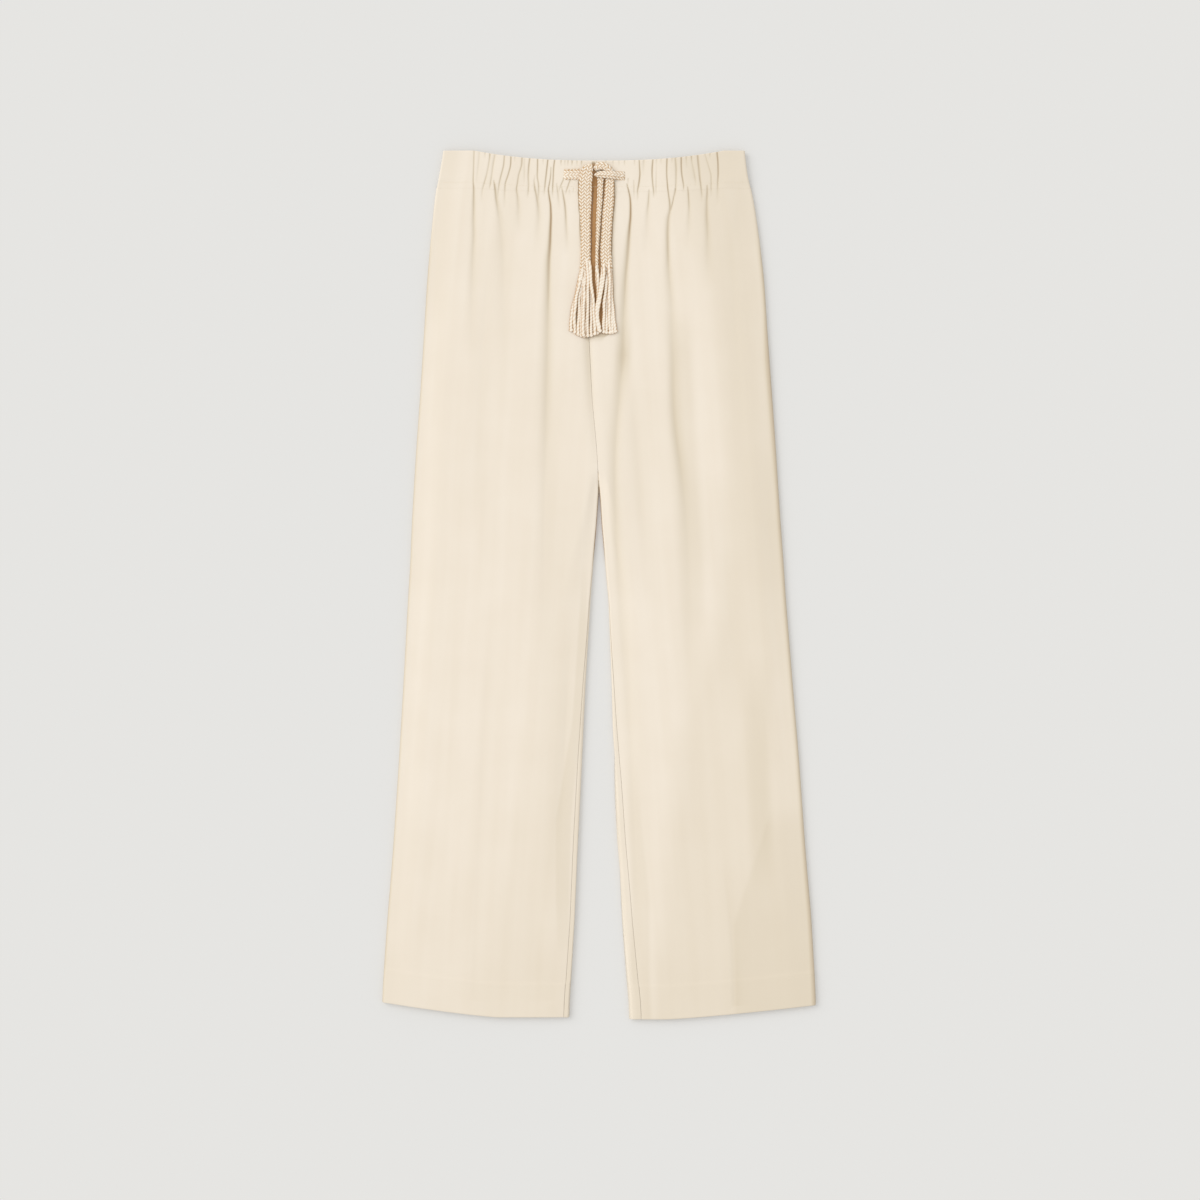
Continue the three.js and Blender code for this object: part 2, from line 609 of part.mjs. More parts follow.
// Eight corners of a flat braid's section: two rounded edges and a slightly raised middle.
function tapeRing(centre, sideways, upwards, wide, thick) {
  const w = wide / 2;
  const t = thick / 2;
  const corners = [
    [-w, 0], [-w + t, t * TAPE_CROWN], [0, t], [w - t, t * TAPE_CROWN],
    [w, 0], [w - t, -t], [0, -t], [-w + t, -t],
  ];
  return corners.map(([side, up]) => centre.clone()
    .addScaledVector(sideways, side)
    .addScaledVector(upwards, up)
    .toArray());
}

function tapeAlong(route, pieces) {
  const curve = new THREE.CatmullRomCurve3(route.map(({ x, y, z }) => new THREE.Vector3(x, y, z)));
  const rings = steps(0, 1, pieces).map((share) => {
    const along = curve.getTangent(share);
    const level = new THREE.Vector3(along.x, along.y, 0);
    const sideways = new THREE.Vector3(0, 0, 1).cross(level).normalize();
    const upwards = along.clone().cross(sideways).normalize();
    const place = share * (route.length - 1);
    const row = Math.min(route.length - 2, Math.floor(place));
    const wide = mix(route[row].wide, route[row + 1].wide, place - row);
    return tapeRing(curve.getPoint(share), sideways, upwards, wide, TAPE);
  });
  return closedLoft(rings);
}

function strandBody(strand, head, settles) {
  const start = head.y - HEAD_LONG + ROOT_DEEP;
  const rings = steps(0, 1, STRAND_STEPS).map((share) => {
    const spread = smooth(share * SPREAD_RATE + SPREAD_START);
    const x = mix(strand.root, strand.tip, spread);
    const settled = smooth((share - settles) / SETTLING);
    const z = mix(STRAND_LEVELS[strand.from], STRAND_LEVELS[strand.to], settled);
    const slim = share > TIP_START ? TIP_SLIM : 1;
    const w = (STRAND_WIDE / 2) * slim;
    const t = (STRAND_THICK / 2) * slim;
    const y = mix(start, strand.end, share);
    return [[x - w, y, z], [x, y, z + t], [x + w, y, z], [x, y, z - t]];
  });
  return closedLoft(rings);
}

function asManifold(geometry) {
  const bare = new THREE.BufferGeometry();
  bare.setAttribute('position', geometry.getAttribute('position'));
  bare.setIndex(geometry.getIndex());
  const merged = mergeVertices(bare, 1e-5);
  return new wasm.Manifold(new wasm.Mesh({
    numProp: 3,
    vertProperties: new Float32Array(merged.getAttribute('position').array),
    triVerts: new Uint32Array(merged.getIndex().array),
  }));
}

function asGeometry(solid) {
  const { vertProperties, triVerts } = solid.getMesh();
  const geometry = new THREE.BufferGeometry();
  geometry.setAttribute('position', new THREE.Float32BufferAttribute(vertProperties, 3));
  geometry.setIndex(Array.from(triVerts));
  return geometry;
}

function tassel({ head, settles, strands }) {
  const levels = strands.map((strand) => STRAND_LEVELS[strand.from]);
  const low = Math.min(...levels) - STRAND_THICK / 2;
  const high = Math.max(...levels) + STRAND_THICK / 2;
  const sideways = new THREE.Vector3(1, 0, 0);
  const upwards = new THREE.Vector3(0, 0, 1);
  const centre = new THREE.Vector3(head.x, head.y, (low + high) / 2);
  const rings = steps(0, 1, HEAD_STEPS).map((share) => {
    const place = centre.clone().setY(head.y - share * HEAD_LONG);
    return tapeRing(place, sideways, upwards, head.wide, high - low);
  });
  let solid = asManifold(closedLoft(rings));
  for (const strand of strands) {
    solid = solid.add(asManifold(strandBody(strand, head, settles)));
  }
  return asGeometry(solid);
}

// ---- The garment ----

const cotton = new THREE.MeshStandardMaterial({ color: '#efe5d2', roughness: 0.95, metalness: 0 });
const braid = new THREE.MeshStandardMaterial({ color: '#e6d6ba', roughness: 0.9, metalness: 0 });

const trousers = new THREE.Group();

function addPiece(name, geometry, material) {
  geometry.computeVertexNormals();
  const mesh = new THREE.Mesh(geometry, material);
  mesh.name = name;
  trousers.add(mesh);
}

addPiece('left_front', legPanel(LEGS.left, frontLine), cotton);
addPiece('right_front', legPanel(LEGS.right, frontLine), cotton);
addPiece('left_back', legPanel(LEGS.left, backLine), cotton);
addPiece('right_back', legPanel(LEGS.right, backLine), cotton);
addPiece('front_waist_casing', casingPiece(true), cotton);
addPiece('back_waist_casing', casingPiece(false), cotton);
for (const [name, route] of Object.entries(TAPES)) {
  addPiece(name, tapeAlong(route, (route.length - 1) * TAPE_STEPS), braid);
}
addPiece('drawstring_wrap', tapeAlong(WRAP, WRAP_STEPS), braid);
for (const [name, parts] of Object.entries(TASSELS)) {
  addPiece(name, tassel(parts), braid);
}

export default trousers;
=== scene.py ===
# %% [markdown]
# # Wide-leg trousers, laid flat
# A pair of cream pull-on trousers lies face up on a table. A maker cuts four leg panels, a front and
# a back waist casing for the elastic, and threads a flat braid through two buttonholes. The CAD frame
# already holds each of these as a solid at its real place, so this file only dresses it: each cloth
# piece becomes a finer shell on the same form, with its gathers and creases, and the drawstring gets
# its plait and its twisted strands.

import math

import bmesh
import bpy
import numpy as np
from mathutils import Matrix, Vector


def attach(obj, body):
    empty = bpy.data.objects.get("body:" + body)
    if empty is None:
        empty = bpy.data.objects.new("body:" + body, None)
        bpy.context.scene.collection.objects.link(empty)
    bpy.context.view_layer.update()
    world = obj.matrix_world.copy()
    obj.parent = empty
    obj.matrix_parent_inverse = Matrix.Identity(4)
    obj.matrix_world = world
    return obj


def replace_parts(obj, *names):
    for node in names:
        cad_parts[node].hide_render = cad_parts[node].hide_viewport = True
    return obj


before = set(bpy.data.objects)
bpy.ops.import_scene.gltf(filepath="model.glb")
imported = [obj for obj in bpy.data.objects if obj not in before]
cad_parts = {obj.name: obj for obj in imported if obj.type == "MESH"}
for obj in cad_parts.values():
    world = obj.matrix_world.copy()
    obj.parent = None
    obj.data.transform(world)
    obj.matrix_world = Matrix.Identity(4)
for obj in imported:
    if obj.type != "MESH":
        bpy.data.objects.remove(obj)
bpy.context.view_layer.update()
BODY = "root"

# %% [markdown]
# ## Camera, light and floor
# A flat lay is pictured from straight above. A long lens keeps the legs free of perspective. The light
# is a bright, even sky with one broad, soft window at the upper left. That draws the folds without hard
# shadows. The floor is a sheet of paper on a light table, so that only a faint shadow shows beside the
# cloth.

# %% Camera
FRAME_WIDTH = 1.44  # metres of floor that the picture takes in
LENS = 85
SENSOR = 36
VIEW_CENTRE = (0.0010, -0.0180)
CLOTH_LEVEL = 0.006

camera_data = bpy.data.cameras.new("camera")
camera_data.lens = LENS
camera_data.sensor_width = SENSOR
camera = bpy.data.objects.new("camera", camera_data)
camera.location = (*VIEW_CENTRE, FRAME_WIDTH * LENS / SENSOR + CLOTH_LEVEL)
bpy.context.scene.collection.objects.link(camera)
bpy.context.scene.camera = camera

# %% Light
SUN_FROM = Vector((-0.90, 0.50, 0.72))  # upper left
SUN_STRENGTH = 1.15
SUN_SOFTNESS = 42  # degrees across
SKY = 0.82

sun_data = bpy.data.lights.new("window_light", "SUN")
sun_data.energy = SUN_STRENGTH
sun_data.angle = math.radians(SUN_SOFTNESS)
sun = bpy.data.objects.new("window_light", sun_data)
sun.rotation_euler = SUN_FROM.to_track_quat("Z", "Y").to_euler()
bpy.context.scene.collection.objects.link(sun)

world = bpy.data.worlds.new("studio")
world.use_nodes = True
world.node_tree.nodes["Background"].inputs["Color"].default_value = (1.0, 1.0, 1.0, 1)
world.node_tree.nodes["Background"].inputs["Strength"].default_value = SKY
bpy.context.scene.world = world
bpy.context.scene.view_settings.view_transform = "Standard"
bpy.context.scene.view_settings.look = "None"

# %% [markdown]
# ## Finishes
# Colours are written as the hex values that a dyer would quote and turned to the linear numbers that the
# shader wants. Each finish starts from what the real stuff is and how its surface was made. Every piece
# carries an attribute, hollow, that holds painted shade: it is 0 in the open and 1 down in a crease or
# between two yarns. There the colour is painted darker and warmer, standing in for light that gets in,
# bounces from cloth to cloth and comes out darker and warmer.


# %% Helpers for finishes
def linear(hex_colour):
    """An sRGB hex colour as the linear RGBA that a shader socket takes."""
    channels = [int(hex_colour[i:i + 2], 16) / 255 for i in (1, 3, 5)]
    return [c / 12.92 if c <= 0.04045 else ((c + 0.055) / 1.055) ** 2.4 for c in channels] + [1.0]


def new_finish(name, **settings):
    """A material with one principled shader that has these settings, and its node tree."""
    material = bpy.data.materials.new(name)
    material.use_nodes = True
    shader = material.node_tree.nodes["Principled BSDF"]
    for key, value in settings.items():
        shader.inputs[key.replace("_", " ")].default_value = value
    return material, material.node_tree, shader


def add_node(tree, kind, settings=None, **inputs):
    """Adds a node, sets its properties, and fills or links its inputs by name or number."""
    node = tree.nodes.new(kind)
    for key, value in (settings or {}).items():
        setattr(node, key, value)
    for key, value in inputs.items():
        socket = node.inputs[int(key[1:])] if key[0] == "_" else node.inputs[key]
        if isinstance(value, bpy.types.NodeSocket):
            tree.links.new(value, socket)
        else:
            socket.default_value = value
    return node


def cloth_map(tree, scale=(1, 1, 1), turned=0.0):
    """The piece's own UV map, in metres of cloth, scaled and turned for one pattern."""
    uv = add_node(tree, "ShaderNodeUVMap", {"uv_map": "cloth"})
    return add_node(tree, "ShaderNodeMapping", Vector=uv.outputs["UV"], Scale=scale,
                    Rotation=(0, 0, turned)).outputs["Vector"]


def blend(tree, share, low, high):
    """A colour that runs from low to high, hex values or sockets, with a share from 0 to 1."""
    ends = [linear(end) if isinstance(end, str) else end for end in (low, high)]
    return add_node(tree, "ShaderNodeMix", {"data_type": "RGBA"}, _0=share, _6=ends[0],
                    _7=ends[1]).outputs[2]


def painted_shade_tones(tree, colour, *steps):
    """The colour in the open, and painted shade: darker colours where the hollow attribute rises past each
    step.
    """
    hollow = add_node(tree, "ShaderNodeAttribute", {"attribute_name": "hollow"}).outputs["Fac"]
    for start, end, tone in steps:
        share = add_node(tree, "ShaderNodeMapRange", Value=hollow, _1=start, _2=end)
        colour = blend(tree, share.outputs["Result"], colour, tone)
    return colour


# %% [markdown]
# ### Cotton and linen plain weave
# The cloth is a plain undyed cream, closely woven, with slightly uneven warp yarns that run down the
# leg and show as faint streaks. A real yarn here is about 0.4 mm, too fine for the picture, so the
# weave is drawn at 1.3 mm, just enough to keep the cloth from looking like plastic. Loose fibre ends
# give it a soft sheen at grazing angles.

# %% Cloth finish
YARN = 0.0013  # drawn spacing of the weave in metres
BAND_UNIT = math.tau / 20  # a band texture repeats once in this distance at a scale of 1
SLUB_WIDE = 0.0130  # width of one uneven warp streak
SLUB_LONG = 0.300
CLOUDS = 16.0  # scale of the soft, uneven patches of tone

cotton, tree, cloth_shader = new_finish("cotton_linen_plain_weave", Roughness=0.92, IOR=1.45,
                                        Specular_IOR_Level=0.18, Sheen_Weight=0.08,
                                        Sheen_Roughness=0.55)
streaks = add_node(tree, "ShaderNodeTexNoise",
                   Vector=cloth_map(tree, (1 / SLUB_WIDE, 1 / SLUB_LONG, 1)), Scale=1.0,
                   Detail=2.0, Roughness=0.35)
clouds = add_node(tree, "ShaderNodeTexNoise", Vector=cloth_map(tree), Scale=CLOUDS, Detail=2.0)
uneven = add_node(tree, "ShaderNodeMix", {"data_type": "FLOAT"}, _0=0.5,
                  _2=streaks.outputs["Fac"], _3=clouds.outputs["Fac"])
spread = add_node(tree, "ShaderNodeMapRange", Value=uneven.outputs[0], _1=0.28, _2=0.72)
plain = blend(tree, spread.outputs["Result"], "#ece0ce", "#f1e6d6")
# painted shade: the cloth's colour turns darker and warmer as the hollow attribute rises
toned = painted_shade_tones(tree, plain, (0.0, 0.4, "#dacdb6"), (0.3, 1.1, "#b39c7f"), (1.1, 2.0, "#b78b5c"))
tree.links.new(toned, cloth_shader.inputs["Base Color"])

warp = add_node(tree, "ShaderNodeTexWave", {"bands_direction": "X"},
                Vector=cloth_map(tree, (1 / YARN, 1 / YARN, 1), math.radians(28)), Scale=BAND_UNIT,
                Distortion=1.2, Detail=1.0)
weft = add_node(tree, "ShaderNodeTexWave", {"bands_direction": "Y"},
                Vector=cloth_map(tree, (1 / YARN, 1 / YARN, 1)), Scale=BAND_UNIT,
                Distortion=1.5, Detail=1.0)
crossed = add_node(tree, "ShaderNodeMath", {"operation": "MULTIPLY"},
                   _0=warp.outputs["Fac"], _1=weft.outputs["Fac"])
raised = add_node(tree, "ShaderNodeMath", {"operation": "MULTIPLY_ADD"},
                  _0=streaks.outputs["Fac"], _1=0.5, _2=crossed.outputs["Value"])
relief = add_node(tree, "ShaderNodeBump", Height=raised.outputs["Value"], Strength=0.06,
                  Distance=0.0004)
tree.links.new(relief.outputs["Normal"], cloth_shader.inputs["Normal"])
print("finish:", cotton.name)

# %% [markdown]
# ### Braid yarn
# The drawstring is plaited from thick, soft cotton yarn. Its own colour is a touch lighter than the cloth's,
# and painted shade between the yarns makes the braid as a whole a little darker and warmer. The plait itself
# is in the mesh. The finish adds the fibres of each yarn as fine slanting streaks, with that painted shade,
# darker and warmer, down between the yarns.

# %% Braid finish
FIBRE = 0.0010

braid, tree, braid_shader = new_finish("plaited_cotton_yarn", Roughness=0.95, IOR=1.45,
                                       Specular_IOR_Level=0.12, Sheen_Weight=0.12,
                                       Sheen_Roughness=0.5)
fibres = add_node(tree, "ShaderNodeTexNoise",
                  Vector=cloth_map(tree, (1 / FIBRE, 0.45 / FIBRE, 1), math.radians(35)),
                  Scale=1.0, Detail=2.0, Roughness=0.6)
fibre_share = add_node(tree, "ShaderNodeMapRange", Value=fibres.outputs["Fac"], _1=0.3, _2=0.7)
yarn_colour = blend(tree, fibre_share.outputs["Result"], "#f7ebd8", "#fef8ec")
# painted shade, darker and warmer, where the hollow attribute rises between the yarns
yarn_colour = painted_shade_tones(tree, yarn_colour, (0.0, 1.0, "#c29964"), (1.0, 2.0, "#aa6a30"))
tree.links.new(yarn_colour, braid_shader.inputs["Base Color"])
fuzz = add_node(tree, "ShaderNodeBump", Height=fibres.outputs["Fac"], Strength=0.45, Distance=0.0003)
tree.links.new(fuzz.outputs["Normal"], braid_shader.inputs["Normal"])
print("finish:", braid.name)

# %% [markdown]
# ### Sewing thread and the floor
# Polyester thread in the cloth's colour, and plain pale paper that glows a little from below.

# %% Thread and floor finishes
FLOOR_GLOW = 0.12
THREAD_FIBRE = 900.0  # scale of the marks of the thread's fibres

thread, tree, thread_shader = new_finish("polyester_sewing_thread", Roughness=0.6, Sheen_Weight=0.1)
twist = add_node(tree, "ShaderNodeTexNoise", Vector=cloth_map(tree), Scale=THREAD_FIBRE)
tree.links.new(blend(tree, twist.outputs["Fac"], "#e6dbc6", "#f0e6d2"), thread_shader.inputs["Base Color"])

paper = new_finish(
    "floor_paper", Base_Color=linear("#d3d2cf"), Roughness=1.0, Specular_IOR_Level=0.0,
    Emission_Color=linear("#ffffff"), Emission_Strength=FLOOR_GLOW)[0]


# %% Putting a form in the scene
def placed(name, form, finish):
    """An object made from a form, which is used up, with its finish."""
    mesh = bpy.data.meshes.new(name)
    form.to_mesh(mesh)
    form.free()
    mesh.materials.append(finish)
    piece = bpy.data.objects.new(name, mesh)
    bpy.context.scene.collection.objects.link(piece)
    return piece


# %% Floor
FLOOR_HALF = 6.0
sheet = bmesh.new()
bmesh.ops.create_grid(sheet, x_segments=1, y_segments=1, size=FLOOR_HALF)
floor = placed("floor", sheet, paper)

# %% [markdown]
# ## One way to make every soft piece
# A sheet of cloth, a flat braid and a yarn are all closed skins with two directions: along the piece
# and around it. A maker of patterns would draw the piece flat and then bend it. The same is done here:
# a flat grid is made, each corner is moved to where the piece's form puts it, and the edges that meet
# are merged, so that every piece is one closed shell with rounded edges. The grid also carries a UV
# map in real metres, so that the weave follows the cloth.

# %% Skin helper
MM = 0.001
MERGE = 2e-7  # corners closer than this become one


def smooth(share):
    s = np.clip(share, 0.0, 1.0)
    return s * s * (3 - 2 * s)


def mix(a, b, share):
    return a + (b - a) * share


def bump(way, place, wide):
    """A smooth rise to 1 at a place, and back to 0."""
    return np.exp(-((way - place) / wide) ** 2)


def skins(name, forms, finish):
    """One mesh object from one or more closed skins. A form is (points, uv, hollow), where hollow is the
    painted shade: tables with a row for each place along the piece and a column for each place around it."""
    whole = bmesh.new()
    uv_layer = whole.loops.layers.uv.new("cloth")
    hollow_layer = whole.verts.layers.float.new("hollow")
    for points, uv, hollows in forms:
        rows, columns = points.shape[:2]
        grid = bmesh.ops.create_grid(whole, x_segments=columns - 1, y_segments=rows - 1, size=0.5)
        spots = {v: (round((v.co.y + 0.5) * (rows - 1)), round((v.co.x + 0.5) * (columns - 1)))
                 for v in grid["verts"]}
        for face in {face for v in spots for face in v.link_faces}:
            for loop in face.loops:
                loop[uv_layer].uv = uv[spots[loop.vert]]
        for v, place in spots.items():
            v.co = points[place]
            v[hollow_layer] = hollows[place]
        bmesh.ops.remove_doubles(whole, verts=grid["verts"], dist=MERGE)
    bmesh.ops.recalc_face_normals(whole, faces=whole.faces)
    for face in whole.faces:
        face.smooth = True
    open_edges = sum(1 for edge in whole.edges if len(edge.link_faces) != 2)
    piece = placed(name, whole, finish)
    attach(piece, BODY)
    print(f"{name}: {len(piece.data.polygons)} faces, {open_edges} open edges")
    return piece


def rounded_ends(count, reach):
    """Shares of the full thickness for rows that close a skin at both of its ends."""
    share = np.ones(count)
    share[:reach] = np.sin(np.linspace(0, math.pi / 2, reach + 1)[:-1])
    share[-reach:] = share[:reach][::-1]
    return share


# %% [markdown]
# ## The drawstring
# A flat plait about 14 mm wide and 2 mm thick. It comes out of the left buttonhole, turns down in a fold and
# hangs as the left tail. The right end comes out of its own buttonhole folded lengthwise, runs over the heads
# of the tails, turns behind itself and hangs as two plies: a narrow one that stands nearly on its edge, and
# the flat right tail. Each route is given point by point, and it lies where the CAD tape lies.

# %% Routes of the tapes: x, y, z and width in millimetres
LEFT_RUN = np.array([
    (-43, 492.6, 4.4, 11.6), (-42, 492.6, 6.2, 12.4), (-40.2, 492.6, 7.3, 13), (-36, 492.7, 7.5, 13.4),
    (-28, 492.7, 7.6, 13.4), (-20, 492.8, 8, 13.4), (-12, 493, 8.5, 13),
]) * MM
LEFT_TAIL = np.array([
    (-13.6, 504.4, 10.4, 10), (-13, 502.6, 10.8, 11.2), (-14.2, 497, 11, 13.6), (-15.8, 488, 10.8, 16.2),
    (-16.4, 481, 10.1, 16.2), (-16.5, 472, 9.1, 16), (-16.6, 461, 8.6, 15.4), (-16.6, 452, 8.5, 14.2),
    (-16.5, 443, 8.5, 13), (-16.3, 430, 8.6, 12.4), (-16.2, 415, 8.7, 12.2), (-16.2, 403, 8.8, 12.2),
    (-16.3, 395, 8.8, 12.2), (-16.5, 386, 8.7, 12.8), (-16.9, 374, 8.6, 13.6), (-17.3, 366, 8.5, 14.2),
]) * MM
INNER_TAIL = np.array([
    (1.8, 489.4, 8.8, 7.6), (1.4, 482, 9, 7.4), (1, 472, 8.8, 7), (0.6, 461, 8.5, 6.8), (-0.2, 449, 8.4, 6.2),
    (-0.9, 437, 8.4, 5.7), (-1.5, 424, 8.5, 5.1), (-2.1, 412, 8.7, 4.7), (-2.6, 402, 8.8, 4.5),
    (-2.8, 395, 8.8, 4.4), (-2.8, 385, 8.7, 4.4), (-2.6, 376, 8.6, 4.4),
]) * MM
RIGHT_TAIL = np.array([
    (12.8, 490, 8.8, 10.6), (12.6, 482, 9, 11), (12, 467, 8.8, 11.8), (11.1, 455, 8.6, 12.4),
    (10, 443, 8.6, 12.4), (9.2, 430, 8.6, 12.2), (8.6, 418, 8.7, 12.2), (8, 407, 8.8, 12.8),
    (8, 398, 8.8, 13.2), (8.8, 386, 8.7, 13.4), (9.8, 376, 8.6, 12.6), (10.6, 368, 8.5, 11),
]) * MM
BAR = np.array([
    (31.2, 490.5, 4, 9.6), (30.4, 490.5, 5.8, 10.4), (28.8, 490.6, 7, 11), (25.8, 490.7, 7.6, 11.2),
    (21.4, 490.9, 9.2, 10.6), (16.6, 491.3, 11.2, 9.8), (10, 491.6, 11.8, 9.2), (3, 492, 11.8, 8.4),
    (-2.4, 491.6, 11.6, 6.2), (-6.4, 490.9, 11.2, 2.6),
]) * MM
WRAP = np.array([
    (13, 492.6, 9.6, 8), (11.6, 497.4, 10, 9.2), (7.8, 500.8, 10.2, 9.6), (2, 502.4, 10.2, 9.4),
    (-2.6, 501, 9.8, 8.4), (-4.4, 496.6, 9.2, 6.6),
]) * MM

# %% [markdown]
# ### Plaiting a tape
# A flat braid of this kind shows columns of slanting yarns that lean one way and then the other, like rows of
# V. The skin of each tape is raised along every yarn and sinks between them, and the same relief is kept as
# the hollow attribute, which paints shade between the yarns. A folded tape has a second layer that peeps out
# along one edge, drawn here as a groove along its length, with painted shade in it.

# %% Tape helper
TAPE_THICK = 0.0020
PLAIT_COLUMN = 0.0033  # width of one column of yarns
PLAIT_YARN = 0.0041  # length of tape that one yarn crosses, drawn coarser than the real 2 mm
PLAIT_RELIEF = 0.00042
TAPE_STEP = 0.00055
TAPE_SIDES = 38
BACK_SIDES = 9
GROOVE_DEEP = 0.0006
GROOVE_WIDE = 0.11  # as a share of the tape's half width
SWAY = 0.00014  # how far a tape tips from side to side
WAVER = 0.00018  # how unevenly its edges run
UPWARDS = np.array([0.0, 0.0, 1.0])


def along_route(route, spacing):
    """Evenly spaced rows on a smooth curve through a route's points, and the way to each."""
    knots = np.array(route)
    padded = np.vstack([2 * knots[0] - knots[1], knots, 2 * knots[-1] - knots[-2]])
    fine = []
    for a, b, c, d in zip(padded, padded[1:], padded[2:], padded[3:]):
        t = np.linspace(0, 1, 40, endpoint=False)[:, None]
        fine.append(0.5 * (2 * b + (c - a) * t + (2 * a - 5 * b + 4 * c - d) * t ** 2
                           + (3 * b - a - 3 * c + d) * t ** 3))
    fine = np.vstack([*fine, knots[-1:]])
    way = np.concatenate([[0], np.cumsum(np.linalg.norm(np.diff(fine[:, :3], axis=0), axis=1))])
    even = np.linspace(0, way[-1], max(8, round(way[-1] / spacing)))
    return np.stack([np.interp(even, way, column) for column in fine.T], axis=1), even


def directions(line):
    """Sideways and upwards at each point of a line, with the face kept uppermost."""
    along = np.gradient(line, axis=0)
    along /= np.linalg.norm(along, axis=1, keepdims=True)
    sideways = np.cross(UPWARDS, along)
    sideways /= np.linalg.norm(sideways, axis=1, keepdims=True)
    return sideways, np.cross(along, sideways)


def plait(across, way):
    """How high a yarn of the plait stands at a place on the tape, from 0 to 1."""
    column = np.floor(across / PLAIT_COLUMN)
    inside = across / PLAIT_COLUMN - column
    slant = np.where(column % 2 < 1, inside, 1 - inside)
    yarn = 0.5 + 0.5 * np.cos(math.tau * (way / PLAIT_YARN + 0.8 * slant + 0.2 * np.sin(2.3 * column)
                                          + 0.12 * np.sin(430 * way + 3 * column)))
    border = 1 - np.abs(2 * inside - 1) ** 5
    return yarn ** 0.9 * border


def tape(route, curl=0.0, groove=None, thin_end=0.0, plait_shade=1.0):
    """A closed skin for a flat plait along a route. Curl lifts its edges off the flat, a groove at a share of
    its half width shows the edge of a second layer, thin_end is the length over which its last end thins out,
    and plait_shade is how much shade is painted between its yarns and in its groove."""
    rows, way = along_route(route, TAPE_STEP)
    sideways, upwards = directions(rows[:, :3])
    spread = np.linspace(-1, 1, TAPE_SIDES)
    upper = spread * (1.25 - 0.25 * spread ** 2)
    side = np.concatenate([-upper, np.linspace(-1, 1, BACK_SIDES)[1:]])
    up = (1 - np.abs(side) ** 4).clip(0, 1) ** 0.6 * np.where(np.arange(len(side)) < TAPE_SIDES, 1, -1)
    ends = rounded_ends(len(rows), 4)[:, None]
    half = rows[:, 3:4] / 2
    height = plait(side * half + 0.5, way[:, None] + 0 * side)
    thin = 1.0
    if thin_end:
        thin = mix(1.0, 0.3, smooth((way[:, None] - way[-1] + thin_end) / thin_end))
        half = half * mix(0.72, 1.0, smooth((way[-1] - way[:, None]) / 0.006))
    puff = TAPE_THICK / 2 * thin + (height - 0.6) * PLAIT_RELIEF
    # painted shade between the yarns of the plait and along the tape's edges
    hollows = 0.95 * plait_shade * (1 - height) ** 1.9 * ends + 0.3 * np.abs(side) ** 8
    if groove is not None:
        trough = bump(side, groove, GROOVE_WIDE) * (up > 0)
        puff = puff - GROOVE_DEEP * trough
        # painted shade down in the groove
        hollows = hollows + 0.35 * trough * plait_shade
    sway = SWAY * np.sin(way[:, None] * 310 + 2) * side
    lift = curl * side ** 2 * half
    width = side * (half - PLAIT_RELIEF * (1 - height) + WAVER * np.sin(way[:, None] * 470)) * ends
    points = (rows[:, None, :3] + width[..., None] * sideways[:, None]
              + ((up * puff + lift + sway) * ends)[..., None] * upwards[:, None])
    points[:, -1] = points[:, 0]
    uv = np.stack(np.broadcast_arrays(side * half + (up < 0) * 0.03, way[:, None]), axis=-1)
    return points, uv, hollows


# %% [markdown]
# ### Tassels
# At the end of each tape the plait is undone. Its yarns come out of it one by one, hang free, spread a
# little, cross each other and end in small knots. Each yarn is two plies twisted round each other,
# and that twist is in its skin, because it is what catches the light.

# %% Tassel helper
STRAND_WIDE = 0.00205  # half of a yarn's width
STRAND_THICK = 0.00064
TWIST = 0.0076  # length of one full turn of the two plies
STRAND_STEP = 0.0007
STRAND_SIDES = 16
LEVELS = (0.00885, 0.01005, 0.01135)  # heights of the three layers in which the yarns lie
ROOT_LEVEL = 0.0080  # where a yarn leaves the plait
YARN_PLACES = 30
YARN_SWAY = 0.00022
FALL = (0.380, 0.362, 0.344, 0.326, 0.308)  # heights along the garment where each yarn's x is given

# Each yarn, in millimetres: x where it leaves the plait, x at each height of the fall, x and y of its
# tip, the layers in which it starts and ends, and how far above the tape's end it comes out.
LEFT_YARNS = [
    (-19.8, -21.2, -24.4, -28.3, -33.1, -34.1, -32.8, 303.2, 0, 0, -15),
    (-19.1, -20.5, -23.4, -27.8, -29.5, -30.1, -28.6, 300.8, 1, 0, -24),
    (-18.6, -19.8, -21.7, -24.1, -23.9, -25.3, -25.2, 298.2, 0, 0, -8),
    (-17.4, -18.4, -19.3, -20, -20.9, -21.6, -21.2, 296.8, 0, 0, -20),
    (-17, -17.5, -17.7, -18, -19, -19.4, -19, 297.4, 1, 1, -29),
    (-16.2, -16.4, -16.9, -16.9, -17.9, -18, -17.2, 296, 0, 0, -12),
    (-15.3, -14.3, -13.1, -13.9, -13.7, -14.4, -13.7, 296.6, 1, 0, 3),
    (-13.3, -12.2, -11.1, -8.8, -9.3, -9.6, -9, 297, 0, 0, -9),
    (-12, -11, -9.8, -7.2, -6.1, -5.6, -4.9, 298.6, 1, 1, -1),
]
INNER_YARNS = [
    (-3.6, -3.1, -2.3, -1.1, -2.4, -2, -1, 300.6, 0, 0, -4),
    (-2, -1.9, -1.4, -0.6, -3.4, -2.9, -2.4, 299.4, 1, 0, -14),
]
